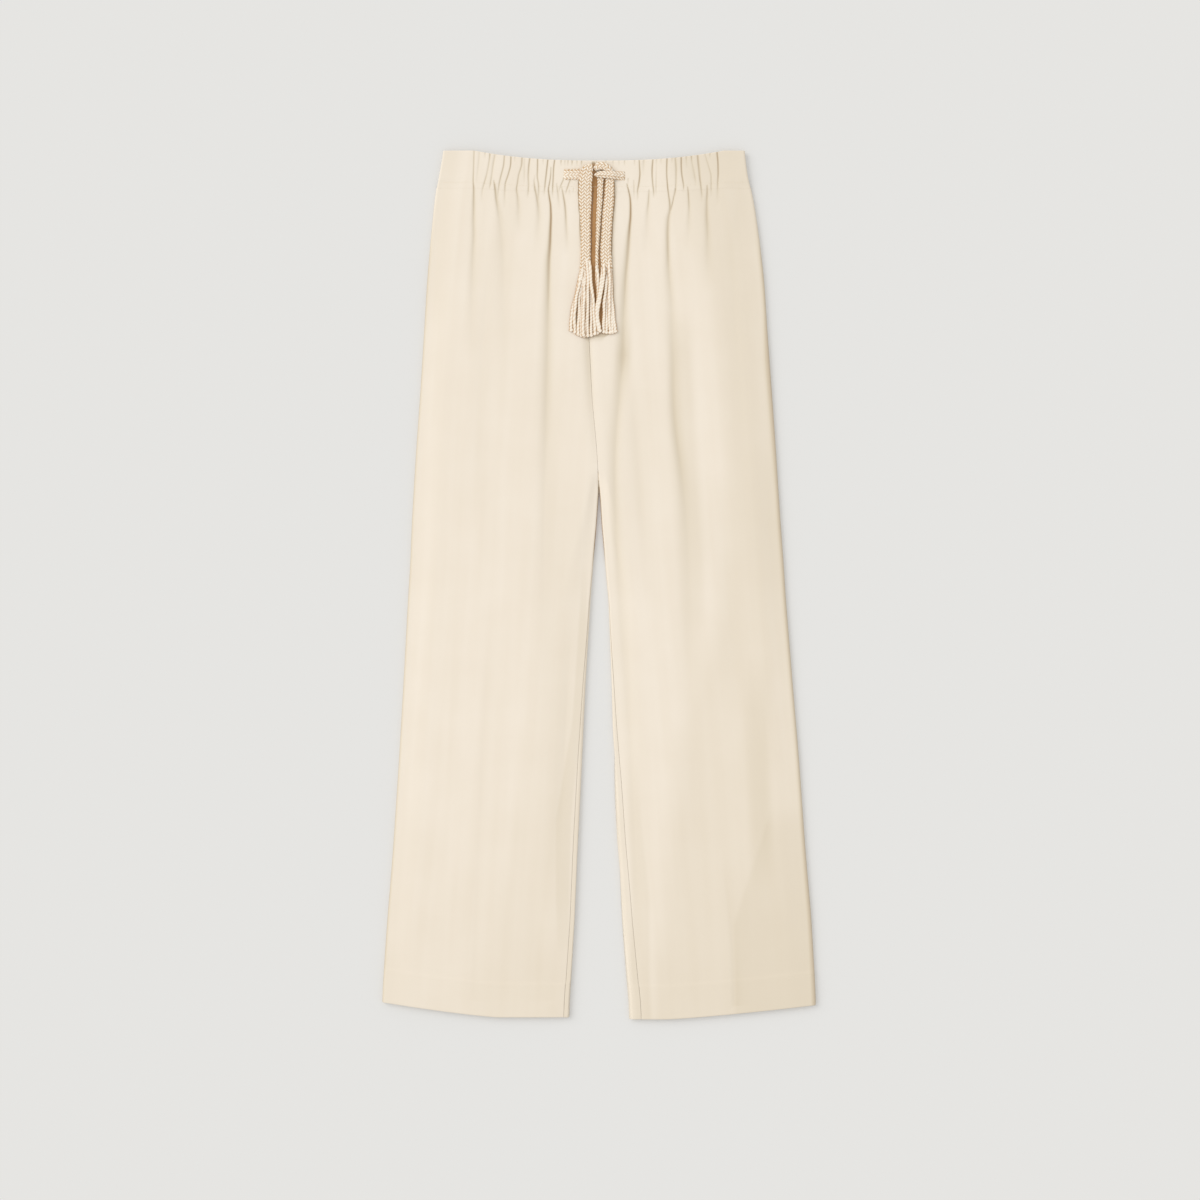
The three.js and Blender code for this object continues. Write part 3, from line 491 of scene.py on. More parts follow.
RIGHT_YARNS = [
    (3.5, 3.8, 2.5, -0.9, -4, -1.7, 1.4, 303.6, 2, 1, -17),
    (5, 6, 4.9, 1.1, -2.3, -0.3, 2.4, 302.2, 2, 1, -9),
    (7.2, 9, 9.2, 6.2, 5.8, 5.2, 5.6, 301, 1, 0, -22),
    (9, 10.2, 11, 9.2, 9, 8.8, 9.2, 300.4, 0, 0, -12),
    (10.7, 12.1, 12.6, 12.2, 12, 12.7, 13.2, 300, 1, 0, -4),
    (11.9, 12.9, 13.6, 13.9, 14.6, 16, 16.4, 300.6, 0, 0, -26),
    (12.6, 13.9, 14.4, 15, 16.9, 19.1, 19.5, 301.8, 0, 0, -14),
]


def yarn(strand, head, settles, turn):
    """A closed skin for one hanging yarn of a tassel."""
    root, *fall, tip, end, first, last, early = strand
    heights = np.array([end * MM, *FALL[::-1], head])
    places = np.array([tip, *fall[::-1], root]) * MM
    y = np.linspace(head + early * MM, end * MM, YARN_PLACES)
    share = np.linspace(0, 1, YARN_PLACES)
    x = sum(np.interp(y + step, heights, places) for step in (-0.008, -0.004, 0.0, 0.004, 0.008)) / 5
    x = x + YARN_SWAY * np.sin(19 * share + 2.1 * turn)
    level = mix(LEVELS[first], LEVELS[last], smooth((share - settles) / 0.3))
    z = mix(ROOT_LEVEL, level, smooth(share / 0.2))
    route = np.stack([x, y, z, share], axis=1)
    rows, way = along_route(route, STRAND_STEP)
    sideways, upwards = directions(rows[:, :3])
    angle = np.linspace(0, math.tau, STRAND_SIDES + 1)
    coiled = way[:, None] / (TWIST * (1 + 0.2 * np.sin(turn))) + 0.2 * np.sin(way[:, None] * 150 + turn)
    lobe = np.cos(2 * (angle - math.tau * coiled) + turn)
    left = way[-1] - way[:, None]
    knot = 1 + 0.34 * bump(left, 0.0020, 0.0014) - 0.16 * bump(left, 0.0050, 0.0012)
    loose = 1 + 0.07 * np.sin(way[:, None] * 260 + 3 * turn)
    emerging = mix(0.7, 1.0, smooth(way[:, None] / 0.016))
    size = rounded_ends(len(rows), 3)[:, None] * (1 + 0.06 * lobe) * knot * loose * emerging
    points = (rows[:, None, :3] + (size * STRAND_WIDE * np.cos(angle))[..., None] * sideways[:, None]
              + (size * STRAND_THICK * np.sin(angle))[..., None] * upwards[:, None])
    points[:, -1] = points[:, 0]
    uv = np.stack(np.broadcast_arrays(angle * STRAND_WIDE, way[:, None]), axis=-1)
    # painted shade between the two plies and on the lower flanks of each yarn
    flank = np.clip((0.90 - np.sin(angle)) / 0.85, 0, 1) * smooth(way[:, None] / 0.01)
    return points, uv, 0.30 * (0.5 - 0.5 * lobe) ** 1.2 + 1.35 * flank


# %% The drawstring's pieces
for name, route, shape in (
    ("drawstring_left_run", LEFT_RUN, {"groove": 0.72, "plait_shade": 0.8}),
    ("drawstring_left_tail", LEFT_TAIL, {"curl": 0.03, "thin_end": 0.026}),
    ("drawstring_inner_tail", INNER_TAIL, {"curl": 0.06, "thin_end": 0.018}),
    ("drawstring_right_tail", RIGHT_TAIL, {"curl": 0.03, "thin_end": 0.026}),
    ("drawstring_bar", BAR, {"curl": -0.08, "groove": 0.45, "plait_shade": 0.8}),
    ("drawstring_wrap", WRAP, {"curl": -0.05}),
):
    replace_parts(skins(name + "_braid", [tape(route, **shape)], braid), name)

for name, yarns, head, settles in (
    ("tassel_left", LEFT_YARNS, 0.3980, 0.55), ("tassel_inner", INNER_YARNS, 0.3980, 0.45),
    ("tassel_right", RIGHT_YARNS, 0.4000, 0.62),
):
    forms = [yarn(strand, head, settles, 1.7 * number) for number, strand in enumerate(yarns)]
    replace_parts(skins(name + "_yarns", forms, braid), name)

# %% Lengths of the free ends
for tail, route, wide, riders in (
    ("drawstring_left_tail", LEFT_TAIL, 0.0138, ("drawstring_left_run", "tassel_left")),
    ("drawstring_inner_tail", INNER_TAIL, 0.0068, ("tassel_inner",)),
    ("drawstring_right_tail", RIGHT_TAIL, 0.0115, ("drawstring_bar", "drawstring_wrap", "tassel_right")),
):
    line, way = along_route(route, 0.004)
    print(tail, "is", round(float(way[-1]), 4), "m long")

# %% [markdown]
# ## The legs
# Each leg is a front and a back panel sewn together along the outer side and the inner leg, laid down
# flat: a wide, shallow tube. The form is the one the CAD panels have, in the same named tables, with
# millimetres turned to metres at the end. Only the crotch differs: here the legs stay together for
# about 20 mm longer, and their sewn edges stand closer. A maker would let the cloth fall and then
# stroke it flat, so that only the folds stay that the elastic sends down into the legs.

# %% The form of the legs, in millimetres
CLOTH = 1.2
HEM_CLOTH = 2.0
HEM_TOP = -480.0
HEM_ROW = -520.0
HEM_STEP = 1.5  # the cloth thickens to the hem over this length
SEAM_GAP = 0.08  # between two pieces that are sewn together
CLOTH_TURN = 2.0
HEM_TURN = 1.9
PANEL_TOP = 474.0
CASING_FOOT = 477.0
CASING_FOOT_DIP = 4.5
WAIST_TOP = 521.4
WAIST_DIP = 12.0
GATHERED_HALF = 150.0
CROTCH = 140.0
CROTCH_RUN = 26.0
FULLER_RUN = 170.0  # below the crotch the inner edges are steep over this length
CASING_BLEND = 90.0
HEM_BLEND = 170.0
SHOULDER = 32.0
SEAM_SHOULDER = 9.0
SEAM_FLAT = 0.85  # how full the cloth still is at the centre seam

# Height along the leg, the two side seams, the middle between the legs and half of the space there.
LEFT, RIGHT, MIDDLE, HALF_GAP = 1, 2, 3, 4
EDGES = np.array([
    (524, -187.3, 175.2, -6.6, 0.15), (485, -193.8, 179.6, -7.2, 0.15), (461, -197.4, 185.4, -8, 0.15),
    (413, -202.4, 192.8, -9.4, 0.15), (365, -206.6, 198.4, -11, 0.15), (300, -210.4, 202.4, -12.2, 0.15),
    (221, -215.4, 208.2, -8.2, 0.05), (173, -218.9, 211.6, -3.6, 0.05), (148, -220.6, 213.2, -1.8, 0.05),
    (114, -222.6, 215.3, -0.1, 0.08), (100, -223.4, 216.3, 0, 1.25), (72, -225, 218.1, 0, 3.1),
    (29, -226.6, 221.4, 0, 6.8), (-19, -229.6, 224.4, 0.4, 10.8), (-115, -234.8, 232.2, -0.6, 15.5),
    (-211, -240.4, 240.2, -1.6, 19), (-307, -246.8, 247, -1.6, 22.8), (-403, -253.6, 254.4, -0.4, 27.6),
    (-499, -259.6, 259.6, 0.6, 34.6), (-522, -260.6, 260.4, 0.6, 35.4),
])
CREST = np.array([
    (524, 6.2), (440, 6.6), (300, 7), (100, 7), (-150, 6.4), (-380, 5.8), (-470, 5.7), (-522, 5.5),
])

# How far the inseam has come up round the inner turn, by height along the leg.
LEFT_SEAM = np.array([
    (120, 0), (0, 1.6), (-79, 2.7), (-199, 5.3), (-319, 7.1), (-522, 7.8),
])
RIGHT_SEAM = np.array([
    (120, 0), (0, 1.2), (-79, 2.2), (-150, 4.4), (-235, 9), (-319, 11.4), (-380, 13), (-522, 15),
])

LEGS = {
    "left": {"side": LEFT, "inward": 1, "hem_low": -519.0, "hem_rise": 18.0, "hem_reach": 140.0,
             "seam": LEFT_SEAM,
             "edge_tone": 0.48, "edge_reach": 3.6, "strip_tone": 0.08},
    "right": {"side": RIGHT, "inward": -1, "hem_low": -521.4, "hem_rise": 17.0, "hem_reach": 180.0,
              "seam": RIGHT_SEAM,
              "edge_tone": 0.34, "edge_reach": 7.0, "strip_tone": 0.06},
}

# %% [markdown]
# ### Gathers and folds
# The elastic pushes the casing together into small upright gathers, no two alike. Some of them end at the
# casing's foot and others begin there. A few run on into the legs as folds, first narrow and deep, then wider
# and softer. Each one is a list of stations from its upper to its lower end: height on the garment, place
# across, depth, and how wide it is to its left and to its right, all in millimetres. A steep left bank looks
# as if the cloth had been pushed over from the left.

# %% Gathers of the casing, and what they become in the legs
LEFT_GATHERS = [
    [(522, -150, 0.5, 0.8, 0.8), (500, -150.6, 0.5, 0.8, 0.8), (484, -151.2, 0.6, 0.8, 0.9),
     (476, -150.6, 1, 0.8, 1.2), (460, -150.6, 1, 1.6, 2), (436, -150.6, 0.9, 2.4, 3),
     (420, -150, 0.9, 2.6, 3.2), (398, -151.2, 0.8, 3, 4.4), (350, -152.4, 0.5, 4, 6), (262, -154, 0, 6, 10)],
    [(522, -143.4, 0.25, 1.2, 1.2), (506, -144.6, 0.3, 1.2, 1.4), (484, -147, 0.1, 1.2, 1.4)],
    [(520, -131, 0.9, 0.7, 1.1), (512, -131.4, 0.5, 0.8, 1.2), (497, -133.8, 0.4, 0.9, 1.3),
     (488, -136.2, 0.55, 0.8, 1.2), (480, -138.6, 0.5, 0.9, 1.2), (472, -140.4, 0.35, 1.2, 1.4),
     (458, -141, 0, 1.6, 2)],
    [(520, -124.2, 0.5, 1.2, 1.6), (506, -126.6, 0.55, 1.6, 1), (494, -128.4, 0.4, 1, 1.2),
     (480, -130.8, 0.6, 0.8, 1.2), (474, -131.4, 0, 1, 1.2)],
    [(486, -126.6, 0.2, 0.7, 1), (478, -125.4, 1.2, 0.8, 1.5), (464, -124.2, 1.1, 1, 2.6),
     (452, -121.8, 0.9, 1.6, 4), (440, -119.4, 0.8, 3, 6), (426, -117.6, 0.8, 5, 6.5),
     (408, -115.8, 0.8, 7, 5), (390, -115.2, 0.7, 8, 6), (340, -114.6, 0.5, 10, 9), (270, -114, 0.3, 14, 14),
     (200, -112, 0, 16, 16)],
    [(518, -113.4, 0.6, 0.8, 1), (503, -114.6, 0.7, 0.8, 1), (492, -117.6, 0.7, 0.8, 1.2),
     (482, -120, 0.6, 0.8, 1.2), (470, -121.2, 0.3, 0.8, 1), (464, -121.2, 0, 0.8, 1)],
    [(518, -105.6, 1, 0.7, 0.8), (503, -106.2, 0.9, 0.7, 0.8), (492, -109.2, 0.8, 0.8, 1),
     (482, -112.8, 0.7, 0.8, 1), (466, -113.4, 0.35, 1, 1.4), (450, -113.4, 0, 1.6, 2)],
    [(516, -92.4, 0.8, 0.8, 1), (503, -93, 0.7, 0.9, 1.2), (492, -96.6, 0.6, 1, 1.2),
     (480, -98.4, 0.7, 0.8, 1.2), (475, -99.6, 0.8, 0.8, 1), (465, -97.8, 0.7, 1.2, 2),
     (452, -96.6, 0.6, 2, 3.2), (440, -96.6, 0.4, 3, 4), (420, -95.4, 0, 4, 6)],
    [(512, -89.4, 0.2, 1.2, 1.2), (492, -89.4, 0.3, 1.2, 1.2), (478, -90, 0, 1.2, 1.2)],
    [(516, -82.8, 0.9, 0.7, 0.9), (502, -84.6, 0.9, 0.8, 1), (490, -85.2, 0.6, 0.9, 1.2),
     (480, -84.6, 0.5, 0.9, 1.2), (472, -85.2, 0.6, 0.8, 1.2), (464, -85.8, 0, 0.8, 1.2)],
    [(514, -73.8, 0.9, 0.7, 0.8), (498, -74, 0.8, 0.8, 0.9), (490, -74.4, 0.6, 0.8, 1),
     (481, -72.6, 0.6, 0.9, 1), (470, -72.4, 0.5, 0.9, 1.2), (462, -72.6, 0, 1, 1.2)],
    [(492, -76.8, 0.1, 0.9, 1), (484, -78, 0.35, 0.9, 1), (476, -77.4, 0.9, 0.8, 1.4), (464, -75, 1, 1, 2.4),
     (454, -73.2, 0.9, 1.8, 2.8), (442, -72, 0.6, 3, 3.4), (426, -73.2, 0.45, 4, 5), (400, -73.2, 0, 6, 8)],
    [(514, -61.2, 1.1, 0.7, 0.9), (503, -62.4, 1, 0.7, 0.9), (492, -63.6, 0.9, 0.8, 1),
     (482, -64.8, 0.8, 0.8, 1), (474, -65.4, 0.5, 0.9, 1), (466, -66, 0, 0.9, 1)],
    [(502, -57.6, 0.3, 0.7, 0.8), (490, -58.2, 0.7, 0.7, 0.8), (480, -60, 0.9, 0.7, 0.9),
     (475, -61.2, 1, 0.7, 0.9), (466, -60, 1.5, 0.8, 1), (456, -58.2, 1.9, 1, 1), (442, -57.6, 2.3, 1.3, 1.1),
     (424, -58.2, 2.4, 1.8, 1.3), (406, -58.8, 2.3, 2.4, 1.6), (390, -60, 2, 3.4, 2),
     (350, -60.8, 1.5, 4.2, 3.2), (310, -61.4, 1.35, 5.4, 5.4), (250, -62.4, 1.45, 6, 7),
     (190, -63.4, 1.35, 6, 9), (135, -65, 0.9, 7, 12), (60, -66, 0.7, 7, 18), (-20, -66, 0.4, 9, 22),
     (-100, -66, 0, 12, 24)],
    [(514, -52.8, 1, 0.7, 0.9), (502, -54.6, 0.9, 0.7, 0.9), (488, -55.2, 0.8, 0.7, 1),
     (478, -55.8, 0.8, 0.7, 1), (470, -55.8, 0.4, 0.8, 1), (464, -55.6, 0, 0.8, 1)],
    [(482, -51, 0.2, 0.8, 1), (472, -49.8, 0.6, 0.8, 1.2), (462, -48.6, 0.3, 1, 1.4),
     (450, -47.4, 0, 1.2, 1.6)],
    [(490, -41.6, 0.5, 0.7, 0.9), (484, -43.8, 0.6, 0.7, 1), (479, -46.2, 0.6, 0.8, 1),
     (472, -48, 0, 0.8, 1)],
    [(488, -34, 0.6, 0.7, 0.9), (481, -36.6, 0.7, 0.7, 0.9), (474, -39, 0.6, 0.8, 0.9),
     (468, -40.2, 0, 0.8, 1)],
    [(478, -45, 0.2, 0.7, 0.9), (468, -43.2, 0.9, 0.8, 1.1), (458, -41.4, 1.1, 0.9, 1.2),
     (446, -40.2, 0.9, 1.2, 1.4), (434, -39.6, 0.7, 1.6, 1.8), (418, -38.4, 0.5, 2.4, 2.6),
     (396, -38, 0, 4, 5)],
    [(474, -35.4, 0.3, 0.8, 0.9), (466, -35.2, 0, 0.8, 1)],
    [(476, -30.6, 0.3, 0.8, 0.9), (469, -30.8, 0, 0.8, 1)],
]
RIGHT_GATHERS = [
    [(514, 48, 0.7, 0.8, 0.8), (502, 48.4, 0.9, 0.7, 0.8), (493, 49, 1.1, 0.8, 0.9), (484, 48, 1.1, 0.8, 0.9),
     (477, 46.8, 0.9, 0.8, 1), (472, 45.6, 0.6, 0.8, 1), (467, 46.8, 0.35, 0.8, 1), (460, 45.6, 0, 0.9, 1)],
    [(514, 54, 0.6, 1, 1.2), (502, 53.4, 0.3, 1.6, 1.8), (490, 53.4, 0, 1.6, 1.8)],
    [(514, 64.8, 0.8, 0.8, 0.9), (501, 63.6, 1.1, 0.8, 0.9), (492, 63.4, 0.9, 0.8, 1),
     (482, 64.2, 0.7, 0.8, 1), (472, 65.4, 0.7, 0.8, 1), (464, 65.8, 0, 0.9, 1)],
    [(514, 69, 0.6, 0.9, 1), (505, 69, 0.1, 1, 1), (484, 68.4, 0.3, 0.8, 0.9), (474, 68.4, 0.3, 0.8, 0.9),
     (466, 68.4, 0, 0.9, 0.9)],
    [(516, 81.6, 1, 0.7, 0.8), (502, 81, 0.9, 0.8, 0.9), (492, 81, 0.8, 0.8, 0.9), (484, 81.6, 0.9, 0.7, 0.8),
     (476, 82.2, 1, 0.7, 0.8), (467, 83.4, 1, 0.8, 1), (459, 84.6, 1.1, 0.9, 1.2), (450, 85.2, 1, 1.6, 1.8),
     (440, 83, 1.2, 2.6, 2.6), (422, 82.2, 1.4, 2.8, 2.6), (400, 82.6, 1.4, 3, 2.8), (378, 83.6, 1.2, 4, 4),
     (340, 87, 1, 6, 6), (300, 88.4, 1, 6, 9), (268, 88.8, 1.2, 4.8, 9), (224, 88.4, 1.35, 4.4, 8),
     (180, 91.6, 1.45, 5, 8), (141, 98, 1.3, 5, 9), (97, 103.6, 1.2, 6, 14), (50, 107, 1, 8, 17),
     (-20, 109, 0.8, 10, 18), (-80, 110, 0.6, 12, 20), (-170, 112, 0, 12, 20)],
    [(516, 91, 0.5, 0.9, 1.2), (500, 92.4, 0.6, 1.1, 1.3), (484, 92.2, 0.5, 1, 1.2), (474, 91.8, 0.5, 0.9, 1),
     (466, 91.6, 0, 0.9, 1)],
    [(476, 91.6, 0.3, 0.8, 0.9), (466, 89.6, 0.8, 0.8, 0.9), (456, 87.6, 0.8, 0.8, 0.9),
     (449, 86.2, 0, 1, 1)],
    [(516, 98.4, 1, 0.7, 0.8), (502, 98.4, 0.9, 0.7, 0.8), (493, 99, 0.8, 0.8, 0.9),
     (486, 100.2, 0.8, 0.8, 0.9), (479, 101.4, 0.6, 0.8, 0.9), (472, 101.6, 0, 0.9, 0.9)],
    [(516, 104.4, 0.4, 0.9, 1.2), (500, 105, 0, 1, 1.2)],
    [(518, 110.4, 0.9, 0.8, 0.9), (509, 111, 0.2, 0.8, 0.9), (497, 113.4, 0.3, 1.4, 1.6),
     (488, 115.2, 0.35, 1.4, 1.4), (479, 116.4, 0, 1.2, 1.4)],
    [(478, 106.2, 0.2, 0.8, 1), (471, 106.8, 0.8, 0.8, 1), (462, 107.4, 0.7, 1, 1.2),
     (450, 108, 0.5, 1.4, 1.8), (430, 107.4, 0.4, 3, 4), (400, 106, 0, 5, 7)],
    [(520, 117.6, 0.7, 0.9, 1.2), (506, 118.8, 0.7, 0.9, 1.3), (496, 120, 0.6, 1, 1.3),
     (488, 120.6, 0.7, 0.8, 1.1), (480, 121.8, 0.6, 0.8, 1.1), (470, 123, 0.4, 0.9, 1.2),
     (460, 123.6, 0, 1, 1.4)],
    [(520, 126, 0.2, 1, 1.2), (492, 134.4, 0.3, 0.9, 1), (474, 134.4, 0.3, 0.9, 1), (466, 134.4, 0, 0.9, 1)],
    [(480, 129.6, 0.3, 0.9, 1), (472, 129.6, 0.7, 0.9, 1.2), (460, 129, 0.6, 1.6, 2),
     (443, 129, 0.8, 2.2, 2.8), (420, 130.2, 0.7, 3, 3.6), (395, 130.4, 0.5, 4.2, 5), (355, 131.4, 0, 6, 10)],
    [(522, 141, 1, 0.7, 0.9), (508, 142.4, 0.9, 0.7, 0.9), (494, 142.8, 0.8, 0.8, 0.9),
     (482, 142.2, 0.4, 0.9, 1.1), (470, 142.2, 0.25, 1.2, 1.4), (455, 142.2, 0, 2, 2)],
    [(482, 33, 0.3, 0.7, 0.8), (476, 34.6, 1, 0.8, 0.9), (466, 37, 1.5, 0.8, 0.9), (456, 37.8, 2, 1, 1),
     (442, 37.8, 2.2, 1.3, 1.2), (428, 36.6, 2.1, 1.8, 1.4), (412, 35.6, 1.8, 3, 2), (396, 34.6, 1.7, 4, 2.4),
     (370, 31.8, 1.6, 4, 3.6), (318, 29, 1.6, 5.4, 6), (270, 28.4, 1.6, 7, 7.5), (240, 25.4, 1.3, 7, 6),
     (180, 20, 1.25, 7, 5), (140, 18.8, 1.15, 6.5, 5), (90, 19.8, 1.25, 6.5, 6), (30, 22, 1.35, 7, 7),
     (-40, 25, 1.4, 8, 7.6), (-100, 30, 1.1, 8, 9), (-200, 38, 0.7, 10, 14), (-300, 42, 0.55, 14, 18),
     (-400, 43, 0.4, 14, 18), (-480, 44, 0, 14, 18)],
    [(486, 41.6, 0.2, 0.8, 1), (474, 42, 0.4, 0.8, 1), (462, 42, 0, 0.9, 1.1)],
    [(474, 60, 0.3, 0.8, 1), (468, 59.6, 0.7, 0.9, 1.2), (456, 58.8, 0.7, 1.2, 1.6), (444, 58, 0.5, 2.4, 3),
     (420, 57, 0.4, 4, 6), (392, 57, 0, 6, 9)],
    [(488, 35, 0.4, 0.9, 1), (478, 34.8, 0, 0.9, 1)],
]

# %% Short tucks along the waist edge, and the soft folds of the open leg
TUCKS = [
    (-136.8, 0.5), (-101, 0.4), (-67, 0.4), (-45.6, 0.8), (-40.8, 0.5), (-37.2, 0.7), (-32.4, 1),
    (-26.4, 0.6), (-21, 1), (-3, 0.5), (8.4, 0.5), (16.8, 0.5), (24, 0.4), (30.6, 0.6), (42.6, 0.5),
    (74.4, 0.4), (87.6, 0.4), (133, 0.4),
]
TUCK_LENGTH = 7.0
SOFT_FOLDS = [
    [(310, -14, 0.6, 5, 3), (290, -12.6, 1.3, 6, 3), (262, -11.4, 1.2, 6.5, 3.4), (240, -10, 0.9, 6.5, 3.4),
     (215, -8.6, 0.6, 6, 3.4), (180, -5.6, 0.3, 5, 3), (145, -2.4, 0, 4, 3)],
    [(400, -132, 0, 8, 10), (340, -136, 0.4, 9, 12), (240, -142, 0.55, 10, 18), (160, -142, 0.6, 12, 20),
     (60, -136, 0, 14, 20)],
    [(90, -44, 0, 26, 16), (0, -42, 0.4, 26, 14), (-140, -38, 0.8, 22, 14), (-240, -46, 0.9, 15, 14),
     (-310, -54, 0.7, 14, 14), (-400, -60, 0, 16, 16)],
    [(-20, -130, 0, 5, 12), (-100, -134, 0.22, 4.6, 14), (-250, -141, 0.28, 4, 16), (-400, -147, 0.24, 4, 16),
     (-500, -150, 0.2, 4, 12)],
    [(-350, -84, 0, 14, 12), (-430, -74, 0.45, 18, 12), (-500, -60, 0.3, 18, 14)],
    [(330, -178, 0, 12, 16), (240, -182, 0.3, 12, 18), (120, -190, 0, 12, 16)],
    [(240, 40, 0, 9, 13), (190, 44, 0.7, 9, 14), (110, 50, 0.8, 10, 14), (40, 56, 0.5, 12, 16),
     (-20, 60, 0, 14, 16)],
    [(-40, 100, 0, 16, 20), (-120, 108, 0.35, 16, 22), (-220, 112, 0.35, 16, 22), (-320, 112, 0.25, 16, 22),
     (-420, 110, 0, 16, 20)],
    [(-330, 150, 0, 2.4, 9), (-400, 159, 0.3, 2.6, 12), (-505, 162, 0.36, 2.6, 12)],
    [(480, 172, 0, 16, 14), (400, 160, 0.8, 16, 18), (330, 163, 0.9, 16, 20), (220, 170, 0.6, 18, 20),
     (60, 176, 0, 18, 20)],
    [(130, 150, 0, 14, 18), (60, 152, 0.6, 16, 18), (-60, 160, 0.7, 16, 20), (-180, 166, 0, 16, 20)],
]

# %% [markdown]
# ### Shade
# Shade is painted into the cloth's colour here. The braid stands a few millimetres off the cloth. In the
# narrow spaces between its tails hardly any light gets down, and what does has bounced off warm yarn, so
# these get a dark, warm painted shade. The broad parts that lean away from the window, such as the right
# leg's outer half, get a lighter painted shade too. Each shade is a strip down the cloth: how soft its sides
# are, then height, left side, right side in millimetres, and how dark it is.

# %% Shade strips
SHADE_STRIPS = [
    # between and beside the tails
    (1.6, [(509, -9.6, -4.6, 0), (505, -9.6, -3.6, 1.4), (485, -11, -1, 2), (461, -11.6, -1.4, 2),
           (440, -13, -2.4, 2), (412, -13, -2.8, 2), (390, -11, -3.2, 2), (353, -9.4, -3.6, 1.9),
           (330, -8, -3.4, 1.7), (316, -7, -3.4, 0)]),
    (1.6, [(490, 4.2, 8.8, 1.6), (467, 3.2, 7.6, 1.8), (455, 2.4, 6.6, 1.8), (443, 1, 5.2, 1.8),
           (419, -0.6, 4, 1.8), (398, -2, 2.4, 1.8), (386, -1.8, 1.8, 1.6), (359, -1.2, 1.8, 1.6),
           (350, 0.6, 5, 1.9), (341, 0.2, 4.2, 2), (312, -0.4, 3.4, 1.8), (302, -0.4, 3, 0)]),
    (1.4, [(487, -26, -22, 0), (482, -25.9, -22, 1.4), (461, -25.6, -21, 1.4), (443, -24.2, -20, 1.2),
           (413, -23.5, -19, 1), (398, -23.3, -19, 0)]),
    (1.4, [(486, 15, 19.2, 0.6), (478, 15, 19.3, 1.5), (461, 15, 19.1, 1.6), (443, 13, 17.4, 1.5),
           (413, 11, 15.6, 1.3), (396, 11, 15.5, 0.9), (380, 11, 15.8, 0.6), (330, 13, 19, 0.5),
           (312, 13, 20, 0)]),
    (4.5, [(488, 12, 23, 0), (478, 12, 23.5, 0.3), (443, 11, 21.6, 0.34), (413, 9, 19.6, 0.34),
           (330, 11, 23, 0.2), (308, 11, 24, 0)]),
    (1.5, [(500, 0, 11, 0), (498.5, 0.5, 11, 1.3), (495, 0.5, 11, 1.3), (494, 0.5, 11, 0)]),
    (4, [(400, -20, 12, 0), (385, -20, 13, 1.6), (360, -24, 14, 1.9), (330, -30, 18, 1.9),
         (312, -28, 19, 1.8), (303, -24, 16, 0.9), (296, -20, 8, 0.2), (291, -16, 4, 0)]),
    # the broad parts that lean away from the light
    (40, [(524, 60, 300, 0.2), (480, 80, 300, 0.17), (400, 100, 300, 0.13), (300, 120, 300, 0.13),
          (150, 133, 300, 0.14), (60, 136, 300, 0.13), (-30, 128, 300, 0.12), (-100, 104, 300, 0.11),
          (-180, 80, 300, 0.11), (-300, 64, 300, 0.13), (-420, 52, 300, 0.16), (-522, 40, 300, 0.2)]),
    (16, [(-80, 168, 212, 0), (-150, 168, 212, 0.12), (-290, 174, 214, 0.14), (-370, 174, 214, 0)]),
    (14, [(330, 72, 116, 0), (280, 76, 118, 0.12), (180, 80, 122, 0.11), (110, 84, 128, 0.13),
          (40, 86, 132, 0.1), (-40, 90, 130, 0.07), (-130, 96, 132, 0)]),
    (7, [(-200, 30, 52, 0), (-283, 32, 54, 0.1), (-379, 36, 64, 0.12), (-463, 34, 64, 0.15),
         (-522, 36, 66, 0.15)]),
    (4, [(30, -22, -12, 0), (-43, -26, -13, 0.13), (-163, -34, -19, 0.12), (-283, -54, -32, 0.1),
         (-379, -54, -34, 0.09), (-460, -50, -36, 0)]),
    (5, [(330, 192, 240, 0), (270, 195, 240, 0.18), (180, 202, 240, 0.12), (110, 206, 240, 0)]),
    (8, [(320, 18, 44, 0), (275, 16, 42, 0.16), (240, 14, 40, 0.04), (200, 12, 36, 0)]),
    (50, [(180, 150, 330, 0), (77, 155, 330, 0.08), (-60, 165, 330, 0.04), (-160, 190, 300, 0)]),
    (7, [(-262, 205, 300, 0), (-290, 196, 300, 0.07), (-408, 158, 300, 0.1), (-522, 160, 300, 0.09)]),
    (34, [(150, -90, 10, 0), (60, -90, 10, 0.03), (-160, -100, 10, 0.04), (-330, -130, 10, 0.05),
          (-522, -170, 10, 0.06)]),
    (40, [(-250, -320, 0, 0), (-420, -320, 0, 0.05), (-522, -320, 0, 0.08)]),
    (20, [(524, -300, -155, 0.06), (390, -300, -165, 0.06), (300, -300, -170, 0)]),
]


# %% Form helpers
def at(table, column, y):
    """A table's column at a height, on straight lines between its rows."""
    return np.interp(y, table[::-1, 0], table[::-1, column])


def eased(table, column, y, reach=14.0):
    """The same, with the corners at the rows rounded off."""
    return sum(at(table, column, y + step * reach) for step in (-1, -0.5, 0, 0.5, 1)) / 5


CORNER = 3  # how far the corners of a crease are rounded in the casing
CORNER_GROWS = 0.06  # and how much more with each millimetre below it
CORNER_FROM = 460


def flowing(stations):
    """Stations drawn out to a row for each millimetre, with rounder corners further down."""
    table = np.array(stations, float)
    heights = np.arange(table[0, 0], table[-1, 0] - 1, -1.0)
    reach = CORNER + CORNER_GROWS * np.clip(CORNER_FROM - heights, 0, 500)
    return np.stack([heights] + [eased(table, column, heights, reach) for column in (1, 2, 3, 4)], axis=1)


def flat_share(x):
    return np.minimum(1, np.abs(x) / GATHERED_HALF) ** 2.4


def waist_edge(x):
    return WAIST_TOP - WAIST_DIP * (1 - flat_share(x))


